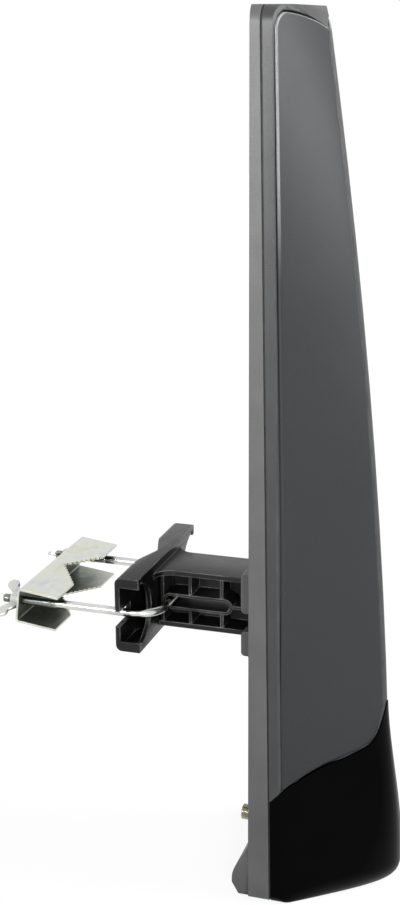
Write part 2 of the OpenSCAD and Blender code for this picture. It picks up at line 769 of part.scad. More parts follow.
// Side view of the crossbar, its rear corners rounded
module jaw_side() {
    translate([0, jaw_w, 0]) rotate([90, 0, 0]) linear_extrude(2 * jaw_w) {
        translate([jaw_r, jaw_lo]) square([jaw_d, jaw_h]);
        translate([0, jaw_lo + jaw_r]) square([jaw_r + eps, jaw_h - 2 * jaw_r]);
        for (z = [jaw_lo + jaw_r, jaw_hi - jaw_r]) translate([jaw_r, z]) circle(jaw_r, $fn = 48);
    }
}
module crossbar() {
    notch_in = rod_gap / 2 - rod_d / 2 - 3;
    difference() {
        intersection() {
            translate([0, 0, jaw_lo]) linear_extrude(jaw_h) jaw_plan(0);
            jaw_side();
        }
        translate([0, 0, jaw_lo + jaw_wall]) linear_extrude(jaw_h - 2 * jaw_wall) difference() {
            jaw_plan(jaw_wall);
            translate([-5, -arm_w / 2]) square([jaw_d + 10, arm_w]);
        }
        for (side = [-1, 1]) {
            translate([-1, side > 0 ? notch_in : -jaw_w / 2 - 1, -notch_h / 2])
                cube([jaw_d + 2, jaw_w / 2 + 1 - notch_in, notch_h]);
            translate([jaw_wall, side > 0 ? jaw_w / 2 - jaw_wall - 1 : -jaw_w / 2 - 1, jaw_lo + lip_h])
                cube([jaw_d, jaw_wall + 2, jaw_h - 2 * lip_h]);
        }
    }
    for (side = [-1, 1]) jaw_gusset(side);
}
// Front wall between crossbar and arm, hollowed towards the open end
module jaw_gusset(side) {
    reach = jaw_w / 2 - arm_w / 2 - 4;
    difference() {
        translate([jaw_d - jaw_wall, side > 0 ? arm_w / 2 - 1 : -arm_w / 2 + 1 - reach, jaw_lo])
            cube([jaw_wall, reach, jaw_h]);
        translate([0, side * (arm_w / 2 + reach + 2), jaw_z])
            along_x(-1, jaw_d + 1, jaw_h / 2 - jaw_wall - 1, 64);
    }
}
module arm() {
    x1 = jaw_d - jaw_wall;
    length = foot_x - x1;
    translate([x1, -arm_w / 2, arm_hi - arm_flange_t]) cube([length, arm_w, arm_flange_t]);
    translate([x1, -arm_w / 2, arm_lo]) cube([length, arm_w, arm_flange_t]);
    translate([x1, -rib_t / 2, arm_lo]) cube([length, rib_t, arm_h]);
    stadium(slot_x0 - slot_rim, slot_x0 + slot_len + slot_rim, slot_z, slot_h + 2 * slot_rim, arm_w);
    for (x = [jaw_d + 1, jaw_d + rib_start, jaw_d + rib_start + rib_gap])
        translate([x, -arm_w / 2 + 0.6, arm_lo]) cube([rib_t, arm_w - 1.2, arm_h]);
    translate([slot_x0 + slot_len, -arm_w / 2 + 0.6, slot_z - rib_t / 2])
        cube([foot_x - slot_x0 - slot_len, arm_w - 1.2, rib_t]);
    translate([foot_x, -foot_plate_half, foot_plate_z - foot_plate_h / 2])
        cube([foot_plate_t, 2 * foot_plate_half, foot_plate_h]);
    for (side = [-1, 1]) difference() {
        translate([jaw_d - 1, side > 0 ? arm_w / 2 - 1 : -arm_w / 2 - flare_r + 1, arm_hi - arm_flange_t])
            cube([flare_r, flare_r, arm_flange_t]);
        translate([jaw_d + flare_r, side * (arm_w / 2 + flare_r), 0])
            cylinder(h = arm_hi + 1, r = flare_r, $fn = 48);
    }
}

// Clamp
leg_y = rod_gap / 2;
module u_bolt() {
    r = rod_d / 2;
    bend_x = cross_x - bend_r;
    color([0.8, 0.81, 0.78]) {
        for (side = [-1, 1]) {
            translate([0, side * leg_y, 0]) along_x(-rod_tail, bend_x, r, 48);
            translate([bend_x, side * (leg_y - bend_r), 0]) rotate([0, 0, side > 0 ? 0 : -90])
                rotate_extrude(angle = 90, $fn = 64) translate([bend_r, 0]) circle(r, $fn = 48);
        }
        translate([cross_x, leg_y - bend_r, 0]) rotate([90, 0, 0])
            cylinder(h = 2 * (leg_y - bend_r), r = r, $fn = 48);
    }
}

hole_r = rod_d / 2 + hole_play;
module bridge_section() {
    difference() {
        union() {
            translate([fold_r, -bridge_h / 2]) square([bridge_d - fold_r, bridge_h]);
            translate([0, -bridge_h / 2 + fold_r]) square([fold_r + eps, bridge_h - 2 * fold_r]);
            for (side = [-1, 1]) translate([fold_r, side * (bridge_h / 2 - fold_r)]) circle(fold_r, $fn = 48);
        }
        translate([fold_r, -bridge_h / 2 + sheet_t]) square([bridge_d, bridge_h - 2 * sheet_t]);
        translate([sheet_t, -bridge_h / 2 + fold_r]) square([fold_r, bridge_h - 2 * fold_r]);
        for (side = [-1, 1])
            translate([fold_r, side * (bridge_h / 2 - fold_r)]) circle(fold_r - sheet_t, $fn = 48);
    }
}
// Plan of the notch: two rows of teeth that meet at the vertex
module tooth_vee() {
    vertex = [bridge_d - tooth_vee_d, 0];
    start = [bridge_d, tooth_vee_half];
    run = start - vertex;
    out = [run[1], -run[0]] / norm(run) * tooth_d;
    half = [for (i = [0:teeth - 1]) each [vertex + run * i / teeth, vertex + run * (i + 0.5) / teeth + out]];
    upper = concat(half, [start, [bridge_d + 10, tooth_vee_half]]);
    polygon(concat(upper, [for (i = [len(upper) - 1:-1:1]) [upper[i][0], -upper[i][1]]]));
}
module toothed_bridge() {
    color([0.83, 0.83, 0.76]) translate([-bridge_back, 0, 0]) rotate([0, bridge_lean, 0]) difference() {
        translate([0, bridge_w / 2, 0]) rotate([90, 0, 0]) linear_extrude(bridge_w) bridge_section();
        translate([0, 0, -bridge_h]) linear_extrude(2 * bridge_h) tooth_vee();
        for (side = [-1, 1]) translate([0, side * leg_y, 0]) along_x(-5, bridge_d / 2, hole_r, 48);
    }
}

nut_x = -bridge_back - 0.3 - nut_d / 2 * tan(bridge_lean) - nut_h;
module wing_nut(side, turn) {
    color([0.82, 0.82, 0.78]) translate([nut_x, side * leg_y, 0]) rotate([turn, 0, 0]) difference() {
        union() {
            translate([nut_h, 0, 0]) rotate([0, -90, 0]) cylinder(h = nut_h, r1 = nut_d / 2, r2 = nut_d / 2 - 1, $fn = 64);
            for (s = [-1, 1]) wing(s);
        }
        along_x(-20, 20, rod_d / 2 + nut_play, 64);
    }
}
// One ear: a round end joined to the collar by a straight flank
module wing(s) {
    tip_r = 3.6;
    tip = [nut_h - wing_h + tip_r, wing_span / 2 - tip_r];
    root = [nut_h - 1, nut_d / 2 - 1.6];
    mirror([0, s > 0 ? 0 : 1, 0]) translate([0, 0, -wing_t / 2]) linear_extrude(wing_t) {
        translate(tip) circle(tip_r, $fn = 32);
        polygon([[nut_h - 0.6, root[1]], [1, root[1]], tip - [tip_r * 0.8, -tip_r * 0.4], tip + [tip_r * 0.4, tip_r * 0.8]]);
    }
}

rear_shell();
front_shell();
side_panel(1);  // side_panel_left
side_panel(-1);  // side_panel_right
lower_cover();
shell_gasket();
shell_screws();
upper_radiator();
lower_radiator();
radiator_screws();
balun_board();
coax_lead();
amplifier_board();
shield_can();
board_screws();
connector_body();
connector_nut();
connector_seal();
connector_insulator();
connector_contact();
mast_bracket();
u_bolt();
toothed_bridge();
wing_nut(1, left_turn);  // wing_nut_left
wing_nut(-1, right_turn);  // wing_nut_right
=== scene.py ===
"""Looks of a slim outdoor TV antenna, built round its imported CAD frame."""

import math

import bmesh
import bpy
from mathutils import Matrix, Vector


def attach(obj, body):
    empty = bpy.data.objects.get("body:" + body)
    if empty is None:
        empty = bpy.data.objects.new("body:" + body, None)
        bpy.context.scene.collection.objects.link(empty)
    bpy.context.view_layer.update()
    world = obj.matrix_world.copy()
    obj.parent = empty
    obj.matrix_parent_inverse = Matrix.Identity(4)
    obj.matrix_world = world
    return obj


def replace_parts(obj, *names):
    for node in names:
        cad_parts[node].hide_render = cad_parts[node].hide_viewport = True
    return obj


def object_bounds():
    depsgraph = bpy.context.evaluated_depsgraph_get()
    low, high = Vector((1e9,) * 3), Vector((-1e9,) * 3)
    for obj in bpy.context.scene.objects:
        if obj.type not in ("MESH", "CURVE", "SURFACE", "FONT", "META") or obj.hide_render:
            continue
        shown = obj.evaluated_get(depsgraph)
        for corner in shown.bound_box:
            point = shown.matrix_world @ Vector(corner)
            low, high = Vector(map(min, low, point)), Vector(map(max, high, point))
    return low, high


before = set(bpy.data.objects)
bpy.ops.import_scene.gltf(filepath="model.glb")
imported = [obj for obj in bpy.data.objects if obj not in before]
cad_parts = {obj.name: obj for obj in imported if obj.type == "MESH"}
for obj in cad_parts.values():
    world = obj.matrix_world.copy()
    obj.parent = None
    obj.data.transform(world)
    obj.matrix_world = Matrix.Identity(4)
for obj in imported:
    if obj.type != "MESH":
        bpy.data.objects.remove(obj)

bl_info = {
    "name": "Outdoor TV antenna",
    "version": (1, 0, 0),
    "blender": (4, 5, 0),
    "location": "View3D > Sidebar > Antenna",
    "description": "Dresses the CAD frame of a slim outdoor TV antenna with its finishes and fine forms",
    "category": "Object",
}

MM = 0.001
LOWEST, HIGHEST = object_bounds()

# Housing, in millimetres, as the CAD has it
HALF_WIDTH = 50.0
LOW_Z = -165.0
TOP_Z = 330.0
REAR_X = 78.5
MARGIN = 6.3
SEAM_TOP = 5.0
SEAM_LOW = 12.5
GASKET = 1.0
COVER_HEIGHT = 64.0
COVER_RISE = 49.0
COVER_TOP_Z = LOW_Z + COVER_HEIGHT + COVER_RISE

# Nose line and flanks, in millimetres
NOSE_TOP_Z = TOP_Z - 13.0
NOSE_LOW_Z = LOW_Z + COVER_HEIGHT + COVER_RISE / 2
NOSE_TOP_REACH = 28.5
NOSE_LOW_REACH = 70.0
NOSE_BOW = 5.5
NOSE_ROUND = 3.0
FLANK_BULGE = 1.5

# Lower cover, in millimetres; its line holds shares of its run and of its rise
COVER_NOSE_ROUND = 13.0
COVER_SWELL = 6.0
COVER_SWELL_PACE = 1.25
COVER_BULGE = 2.0
COVER_PROUD = 0.5
COVER_WALL = 2.2
COVER_EDGE = 12.0
COVER_MEAN_HEIGHT = 80.0
COVER_JOINT = 0.3
LOW_CORNER = 4.0
COVER_LINE = ((0, 0), (0.12, 0.15), (0.28, 0.27), (0.48, 0.38),
              (0.68, 0.44), (0.86, 0.51), (0.94, 0.66), (1, 1))

# Side panels, in millimetres
GROOVE = 1.0
RIM = 1.0
SPINE = 2.6
PANEL_OUT = HALF_WIDTH - RIM - GROOVE
PANEL_IN = SPINE + GROOVE
PANEL_THICK = 1.6
PANEL_CORNER = 8.0
PANEL_TOP_FALL = 9.0
PANEL_DRAWN_IN = 0.8
PANEL_WIDENS = 1.2
WIDENS_FROM_Z = 60.0
WIDENS_OVER = 120.0

# Polish and painted highlight of a panel's rim: height where they start, and run over which they grow, at
# each edge
POLISH_AND_HIGHLIGHT_OUTER = (190.0, 70.0)
POLISH_AND_HIGHLIGHT_NOSE = (110.0, 120.0)


# Forms of the housing

def smooth_step(t):
    """A share from 0 to 1 with a soft start and a soft end."""
    t = min(max(t, 0.0), 1.0)
    return t * t * (3 - 2 * t)


def seam_x(z):
    """Seam between the shells, which leans forward downwards."""
    return REAR_X + SEAM_TOP + (SEAM_LOW - SEAM_TOP) * (TOP_Z - z) / (TOP_Z - LOW_Z)


def edge_x(z):
    """Line where the margin strip meets the flank."""
    return seam_x(z) + MARGIN


def nose_x(z):
    """The bowed line of the nose."""
    t = (z - NOSE_LOW_Z) / (NOSE_TOP_Z - NOSE_LOW_Z)
    straight = NOSE_LOW_REACH + (NOSE_TOP_REACH - NOSE_LOW_REACH) * t
    return REAR_X + straight + 4 * NOSE_BOW * t * (1 - t)


def ridge(y, radius):
    """Share of the nose's reach across the width: 1 on the rounded ridge, 0 at the sides."""
    far = math.sqrt(HALF_WIDTH ** 2 + radius * radius)
    return (far - math.sqrt(y * y + radius * radius)) / (far - radius)


def flank_x(y, z):
    """Outer face of the prow above the cover."""
    s = abs(y) / HALF_WIDTH
    return edge_x(z) + (nose_x(z) - edge_x(z)) * ridge(y, NOSE_ROUND) + 4 * FLANK_BULGE * s * (1 - s)


def cover_x(y, z):
    """Outer face of the lower cover, fuller than the flank and drawn in round its floor."""
    share = (COVER_TOP_Z - z) / (COVER_HEIGHT + COVER_RISE)
    s = min(abs(y) / HALF_WIDTH, 1)
    radius = NOSE_ROUND + (COVER_NOSE_ROUND - NOSE_ROUND) * smooth_step(share)
    height = min(max(z - LOW_Z, 0), COVER_EDGE)
    pull = COVER_EDGE - math.sqrt(max(COVER_EDGE ** 2 - (COVER_EDGE - height) ** 2, 0))
    reach = nose_x(z) + COVER_SWELL * smooth_step(share * COVER_SWELL_PACE) - edge_x(z)
    bulge = 4 * (FLANK_BULGE + COVER_BULGE * smooth_step(share)) * s * (1 - s)
    return edge_x(z) + COVER_PROUD + reach * ridge(y, radius) + bulge - pull * (1 - s * s)


def slope_at(table, k):
    """Slope of a smooth line at point k of its table."""
    (a, fa), (b, fb) = table[max(k - 1, 0)], table[min(k + 1, len(table) - 1)]
    return (fb - fa) / (b - a)


def curve_through(t, table):
    """A smooth line through the points of a table."""
    t = min(max(t, table[0][0]), table[-1][0])
    for k in range(len(table) - 1):
        (a, fa), (b, fb) = table[k], table[k + 1]
        if t <= b:
            w, s = b - a, (t - a) / (b - a)
            return (fa * (1 - s) ** 2 * (1 + 2 * s) + fb * s * s * (3 - 2 * s)
                    + w * s * (1 - s) * (slope_at(table, k) * (1 - s) - slope_at(table, k + 1) * s))
    return table[-1][1]


def cover_line_z(x):
    """Height of the joint between panel and cover, from the seam to the nose."""
    base = LOW_Z + COVER_HEIGHT
    start = seam_x(base)
    end = nose_x(COVER_TOP_Z) + COVER_PROUD
    return base + COVER_RISE * curve_through((x - start) / (end - start), COVER_LINE)


# Mesh tools

def solid(name, verts, faces, body, slot, sharp=None):
    """One object from points in millimetres, welded, with its faces turned outwards and its finish on."""
    mesh = bpy.data.meshes.new(name)
    mesh.from_pydata([Vector(v) * MM for v in verts], [], faces)
    bm = bmesh.new()
    bm.from_mesh(mesh)
    bmesh.ops.remove_doubles(bm, verts=bm.verts, dist=1e-6)
    bmesh.ops.recalc_face_normals(bm, faces=bm.faces)
    bm.to_mesh(mesh)
    bm.free()
    obj = bpy.data.objects.new(name, mesh)
    bpy.context.scene.collection.objects.link(obj)
    mesh.materials.append(MADE[slot])
    mesh.shade_smooth()
    if sharp:
        mesh.set_sharp_from_angle(angle=math.radians(sharp))
    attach(obj, body)
    return obj


def grid_faces(rows, columns, start=0, closed=False):
    """Quads between rows of points; closed joins the last column to the first."""
    faces = []
    for j in range(rows - 1):
        low = start + j * columns
        high = low + columns
        for i in range(columns if closed else columns - 1):
            k = (i + 1) % columns
            faces.append((low + i, low + k, high + k, high + i))
    return faces


def lathe(profile, parts, cut=None):
    """Points and faces of a closed profile turned about the x axis; cut changes a radius by x and angle."""
    verts = []
    for x, full in profile:
        for i in range(parts):
            angle = 2 * math.pi * i / parts
            radius = cut(x, full, angle) if cut else full
            verts.append((x, radius * math.cos(angle), radius * math.sin(angle)))
    faces = grid_faces(len(profile), parts, closed=True)
    last = (len(profile) - 1) * parts
    faces += [(last + i, last + (i + 1) % parts, (i + 1) % parts, i) for i in range(parts)]
    return verts, faces


def raised(verts, z):
    """The same points, moved up."""
    return [(v[0], v[1], v[2] + z) for v in verts]


def keep_modified(obj):
    """The shape after the modifiers becomes the mesh."""
    deps = bpy.context.evaluated_depsgraph_get()
    made = bpy.data.meshes.new_from_object(obj.evaluated_get(deps))
    obj.modifiers.clear()
    old = obj.data
    obj.data = made
    bpy.data.meshes.remove(old)


# Finishes

# Sockets of a Mix node that mixes colours
MIX_A, MIX_B, MIX_RESULT = 6, 7, 2


class Finish:
    """A material's node tree, built a link at a time."""

    def __init__(self, name):
        self.material = bpy.data.materials.new(name)
        self.material.use_nodes = True
        self.nodes = self.material.node_tree.nodes
        self.links = self.material.node_tree.links
        self.shader = self.nodes["Principled BSDF"]
        self.place = self.nodes.new("ShaderNodeTexCoord").outputs["Object"]

    def link(self, out, socket):
        self.links.new(out, socket)

    def scaled(self, x, y, z):
        """Places on the piece, stretched along its axes."""
        node = self.nodes.new("ShaderNodeMapping")
        node.inputs["Scale"].default_value = (x, y, z)
        self.link(self.place, node.inputs["Vector"])
        return node.outputs["Vector"]

    def noise(self, scale, detail=3.0, rough=0.5, vector=None, warp=0.0):
        node = self.nodes.new("ShaderNodeTexNoise")
        node.inputs["Scale"].default_value = scale
        node.inputs["Detail"].default_value = detail
        node.inputs["Roughness"].default_value = rough
        node.inputs["Distortion"].default_value = warp
        self.link(vector or self.place, node.inputs["Vector"])
        return node.outputs["Fac"]

    def cells(self, scale):
        """Fine grains: distance to the nearest cell's centre."""
        node = self.nodes.new("ShaderNodeTexVoronoi")
        node.inputs["Scale"].default_value = scale
        self.link(self.place, node.inputs["Vector"])
        return node.outputs["Distance"]

    def ramp(self, fac, stops):
        """Colours by value, from pairs of place and colour."""
        node = self.nodes.new("ShaderNodeValToRGB")
        points = node.color_ramp.elements
        while len(points) < len(stops):
            points.new(0.5)
        for point, (at, colour) in zip(points, stops):
            point.position = at
            point.color = (*colour, 1)
        self.link(fac, node.inputs["Fac"])
        return node.outputs["Color"]

    def spread(self, fac, low, high, start=0.3, end=0.7):
        """A value from start to end, laid out from low to high."""
        node = self.nodes.new("ShaderNodeMapRange")
        node.inputs["From Min"].default_value = start
        node.inputs["From Max"].default_value = end
        node.inputs["To Min"].default_value = low
        node.inputs["To Max"].default_value = high
        self.link(fac, node.inputs["Value"])
        return node.outputs["Result"]

    def mixed(self, fac, a, b):
        """Colour a where fac is 0 and colour b where it is 1."""
        node = self.nodes.new("ShaderNodeMix")
        node.data_type = "RGBA"
        self.link(fac, node.inputs[0])
        self.link(a, node.inputs[MIX_A])
        self.link(b, node.inputs[MIX_B])
        return node.outputs[MIX_RESULT]

    def bump(self, height, strength, distance, under=None):
        node = self.nodes.new("ShaderNodeBump")
        node.inputs["Strength"].default_value = strength
        node.inputs["Distance"].default_value = distance
        self.link(height, node.inputs["Height"])
        if under:
            self.link(under, node.inputs["Normal"])
        return node.outputs["Normal"]

    def rounded(self, radius):
        """The surface's direction with its edges softened."""
        node = self.nodes.new("ShaderNodeBevel")
        node.samples = 6
        node.inputs["Radius"].default_value = radius
        return node.outputs["Normal"]

    def set(self, **values):
        for name, value in values.items():
            self.shader.inputs[name.replace("_", " ")].default_value = value

    def lay(self, socket, out):
        """Feed one of the shader's sockets."""
        self.link(out, self.shader.inputs[socket])

    def edges(self, radius):
        """1 along the edges of the form, 0 on its faces."""
        compare = self.nodes.new("ShaderNodeVectorMath")
        compare.operation = "DOT_PRODUCT"
        self.link(self.rounded(radius), compare.inputs[0])
        self.link(self.nodes.new("ShaderNodeNewGeometry").outputs["True Normal"], compare.inputs[1])
        return self.spread(compare.outputs["Value"], 1.0, 0.0, 0.84, 0.99)

    def recess(self, reach):
        """0 deep in grooves and corners, 1 in the open: ambient occlusion, by which the finishes paint shade.
        """
        node = self.nodes.new("ShaderNodeAmbientOcclusion")
        node.samples = 8
        node.inputs["Distance"].default_value = reach
        return node.outputs["AO"]

    def mark(self, name):
        """A share that the mesh itself holds, point by point."""
        node = self.nodes.new("ShaderNodeAttribute")
        node.attribute_name = name
        return node.outputs["Fac"]


def shaded(colour, share):
    """A colour made darker or lighter by a share."""
    return tuple(c * share for c in colour)


def moulded_plastic(name, colour, rough, grain, depth, edge, shine, rub_and_highlight=0.02, reach=0.004):
    """Grained moulding: fine spark-eroded texture, drift of tone, edges lighter as wear and as painted
    highlight, and painted shade darkening the recesses.
    """
    f = Finish(name)
    dark, light = shaded(colour, 0.88), shaded(colour, 1.12)
    # Edges lighter in colour: partly wear, partly painted highlight; strong on the bracket, faint on the
    # shells
    worn_and_highlight = tuple(c * 1.6 + rub_and_highlight for c in colour)
    base = f.ramp(f.noise(38, 4), [(0.3, dark), (0.7, light)])
    rubbed_and_highlight = f.ramp(f.noise(90, 2), [(0.35, light), (0.75, worn_and_highlight)])
    open_side = f.mixed(f.edges(0.0008), base, rubbed_and_highlight)
    # Painted shade: near-black colour laid where ambient occlusion finds grooves, corners and recesses
    painted_shade = f.ramp(f.noise(120, 2), [(0.3, shaded(colour, 0.04)), (0.7, shaded(colour, 0.08))])
    f.lay("Base Color", f.mixed(f.spread(f.recess(reach), 0.0, 1.0, 0.25, 0.75), painted_shade, open_side))
    f.lay("Roughness", f.spread(f.noise(60, 5), rough - 0.02, rough + 0.03))
    pits = f.bump(f.noise(grain, 3, 0.6), 0.35, depth, f.rounded(edge))
    f.lay("Normal", f.bump(f.cells(grain * 0.6), 0.2, depth, pits))
    f.set(Specular_IOR_Level=shine)
    return f.material


def satin_panel():
    """Painted inlay of the flanks: satin charcoal with fine flake; its rolled rim glossier and lighter in
    colour as a painted highlight, and painted shade in the groove round it.
    """
    f = Finish("panel_satin_charcoal")
    flake = f.ramp(f.cells(2600), [(0.0, (0.040, 0.043, 0.046)), (0.5, (0.018, 0.020, 0.021)),
                                   (1.0, (0.012, 0.013, 0.014))])
    drift = f.ramp(f.noise(9, 3), [(0.3, (0.013, 0.014, 0.016)), (0.7, (0.018, 0.020, 0.022))])
    paint = f.mixed(f.noise(1400, 2), drift, flake)
    rim = f.mark("polish_and_highlight")
    # Painted highlight: the rolled rim's colour made much lighter where the polish mark is up
    bright = f.ramp(f.noise(900, 2), [(0.3, (0.17, 0.175, 0.18)), (0.7, (0.21, 0.215, 0.22))])
    # Painted shade: near-black colour where ambient occlusion finds the groove round the panel
    painted_shade = f.ramp(f.noise(300, 2), [(0.3, (0.0008, 0.0008, 0.0008)), (0.7, (0.0015, 0.0015, 0.0015))])
    open_side = f.spread(f.recess(0.003), 0.0, 1.0, 0.40, 0.80)
    f.lay("Base Color", f.mixed(open_side, painted_shade, f.mixed(rim, paint, bright)))
    satin = f.spread(f.noise(55, 4), 0.36, 0.43)
    polished = f.spread(f.noise(55, 4), 0.12, 0.16)
    f.lay("Roughness", f.mixed(rim, satin, polished))
    f.lay("Normal", f.bump(f.noise(1500, 2, 0.6), 0.22, 0.0001))
    f.set(Specular_IOR_Level=0.26)
    return f.material


def gloss_black():
    """Polished black cover, faintly wavy as gloss mouldings are, glossiest where it begins to turn away."""
    f = Finish("cover_gloss_black")
    f.lay("Base Color", f.ramp(f.noise(20, 3), [(0.3, (0.0008, 0.0008, 0.0009)),
                                                (0.7, (0.0014, 0.0014, 0.0015))]))
    f.lay("Roughness", f.spread(f.noise(160, 5), 0.05, 0.10))
    f.lay("Normal", f.bump(f.noise(26, 2), 0.05, 0.0006))
    weight = f.nodes.new("ShaderNodeLayerWeight")
    weight.inputs["Blend"].default_value = 0.5
    f.lay("Coat Weight", f.ramp(weight.outputs["Facing"], [(0.22, (0, 0, 0)), (0.52, (0.45, 0.45, 0.45)),
                                                           (0.75, (0.16, 0.16, 0.16))]))
    f.set(Specular_IOR_Level=0.02, Coat_Roughness=0.06)
    return f.material


def rubber(name):
    """Matt black rubber with a dusty bloom."""
    f = Finish(name)
    f.lay("Base Color", f.ramp(f.noise(120, 5), [(0.3, (0.006, 0.006, 0.006)),
                                                 (0.75, (0.016, 0.016, 0.015))]))
    f.lay("Roughness", f.spread(f.noise(300, 3), 0.62, 0.8))
    f.lay("Normal", f.bump(f.noise(900, 2), 0.3, 0.0001))
    f.set(Specular_IOR_Level=0.35)
    return f.material


def plated(name, tones, rough, streaks, edge=0.0003, spangle=160.0, reach=0.010):
    """Plated metal: soft iridescent clouds, drawing marks along one axis, greenish-grey painted shade in the
    recesses.
    """
    f = Finish(name)
    along = f.scaled(*streaks)
    cloud = f.ramp(f.noise(spangle * 0.25, 3, 0.5, warp=0.6), list(zip((0.30, 0.46, 0.58, 0.70), tones)))
    lit = tuple(min(c * 1.1, 1) for c in tones[1])
    bright = f.ramp(f.noise(spangle, 4), [(0.3, tones[1]), (0.7, lit)])
    marks = f.ramp(f.noise(1.0, 3, 0.6, along), [(0.40, (0, 0, 0)), (0.62, (1, 1, 1))])
    # Painted shade: greenish grey laid by ambient occlusion inside folds and recesses
    shaded_inside = f.ramp(f.noise(spangle, 3), [(0.3, PAINTED_SHADE_METAL), (0.7, shaded(PAINTED_SHADE_METAL, 1.5))])
    open_side = f.spread(f.recess(reach), 0.0, 1.0, 0.45, 0.95)
    f.lay("Base Color", f.mixed(open_side, shaded_inside, f.mixed(marks, cloud, bright)))
    f.lay("Roughness", f.spread(f.noise(1.0, 4, 0.6, along), rough - 0.07, rough + 0.09))
    fine = f.bump(f.noise(1.0, 3, 0.6, along), 0.12, 0.0001, f.rounded(edge) if edge else None)
    f.lay("Normal", f.bump(f.noise(spangle * 2.5, 3), 0.10, 0.0002, fine))
    f.set(Metallic=1.0)
    return f.material


def board_green():
    """Green lacquer over the tracks of a circuit board."""
    f = Finish("board_green")
    tracks = f.nodes.new("ShaderNodeTexBrick")
    tracks.inputs["Scale"].default_value = 260
    tracks.inputs["Color1"].default_value = (0.012, 0.070, 0.030, 1)
    tracks.inputs["Color2"].default_value = (0.010, 0.055, 0.025, 1)
    tracks.inputs["Mortar"].default_value = (0.03, 0.14, 0.06, 1)
    f.link(f.place, tracks.inputs["Vector"])
    f.lay("Base Color", tracks.outputs["Color"])
    f.lay("Normal", f.bump(tracks.outputs["Fac"], 0.3, 0.0001))
    f.lay("Roughness", f.spread(f.noise(200, 3), 0.3, 0.45))
    return f.material


def insulator_white():
    """Waxy white of the socket's insulator."""
    f = Finish("insulator_white")
    f.lay("Base Color", f.ramp(f.noise(500, 4), [(0.3, (0.74, 0.73, 0.69)), (0.7, (0.84, 0.83, 0.79))]))
    f.lay("Roughness", f.spread(f.noise(400, 3), 0.4, 0.55))
    f.lay("Normal", f.bump(f.noise(1500, 2), 0.2, 0.0001))
    return f.material


# Four tones of each plating, from its cool clouds to its warm ones and back
ZINC = ((0.50, 0.53, 0.56), (0.66, 0.67, 0.64), (0.68, 0.66, 0.56), (0.54, 0.57, 0.54))
ZINC_SHEET = ((0.56, 0.60, 0.64), (0.66, 0.67, 0.62), (0.68, 0.66, 0.52), (0.54, 0.59, 0.54))
NICKEL = ((0.70, 0.66, 0.52), (0.78, 0.73, 0.58), (0.80, 0.75, 0.58), (0.68, 0.63, 0.50))
TIN = ((0.66, 0.67, 0.68), (0.74, 0.75, 0.76), (0.78, 0.78, 0.78), (0.70, 0.71, 0.73))
GILT = ((0.76, 0.56, 0.24), (0.83, 0.62, 0.28), (0.86, 0.66, 0.32), (0.74, 0.54, 0.24))
# Greenish grey of the painted shade in the metals' recesses
PAINTED_SHADE_METAL = (0.10, 0.115, 0.095)


def finishes(housing, clamp):
    """Every finish of the antenna, by the record's slot name."""
    return {
        "rear_plastic": moulded_plastic("rear_shell_grained", housing.shell_colour,
                                        0.46, 1500, 0.0002, 0.0008, 0.4),
        "front_plastic": moulded_plastic("front_shell_grained", housing.margin_colour,
                                         0.40, 1500, 0.0002, 0.0008, 0.4),
        # Painted highlight: the bracket's edges made much lighter in colour
        "bracket_plastic": moulded_plastic("bracket_black", clamp.bracket_colour,
                                           0.30, 1100, 0.00022, 0.0007, 0.30, rub_and_highlight=0.26, reach=0.005),
        "panel": satin_panel(),
        "gloss_black": gloss_black(),
        "seal": rubber("seal_rubber"),
        "lead_jacket": rubber("lead_jacket"),
        "board": board_green(),
        "insulator": insulator_white(),
        "screw_steel": plated("screw_steel", TIN, 0.30, (400, 3000, 3000)),
        "element_sheet": plated("element_sheet_tinned", TIN, 0.34, (900, 900, 60), 0.0002),
        "can": plated("can_tinned", TIN, 0.28, (600, 900, 90), 0.0004),
        "socket_metal": plated("socket_nickel", NICKEL, 0.22, (200, 2600, 2600), 0.0001),
        "contact_metal": plated("contact_gilt", GILT, 0.24, (300, 2000, 2000), 0.0001),
        "zinc_rod": plated("rod_zinc", ZINC, 0.17, (70, 2600, 2600), 0.0),
        "zinc_sheet": plated("bridge_zinc", ZINC_SHEET, 0.36, (260, 120, 1400), 0.0002, 220, 0.024),
        "zinc_nut": plated("nut_zinc", ZINC, 0.30, (900, 700, 700)),
    }


# Slot of each CAD node, and the finish made for each slot
SLOT_OF = {name: obj.data.materials[0].name.split(".")[0] for name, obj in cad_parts.items()}
MADE = {}


# Settings

class AntennaHousing(bpy.types.PropertyGroup):
    shell_colour: bpy.props.FloatVectorProperty(
        name="Rear shell colour", description="Grained grey of the rear shell", subtype="COLOR", size=3,
        min=0, max=1, default=(0.074, 0.075, 0.074))
    margin_colour: bpy.props.FloatVectorProperty(
        name="Front shell colour", description="Grained charcoal of the front shell", subtype="COLOR", size=3,
        min=0, max=1, default=(0.029, 0.030, 0.031))
    panel_bevel: bpy.props.FloatProperty(
        name="Panel rim", description="Depth of the rolled rim of each side panel", default=1.1 * MM,
        min=0.3 * MM, max=1.4 * MM, unit="LENGTH", subtype="DISTANCE")
    cover_lip: bpy.props.FloatProperty(
        name="Cover lip", description="Rounding of the gloss cover's upper lip", default=0.35 * MM,
        min=0.1 * MM, max=0.8 * MM, unit="LENGTH", subtype="DISTANCE")


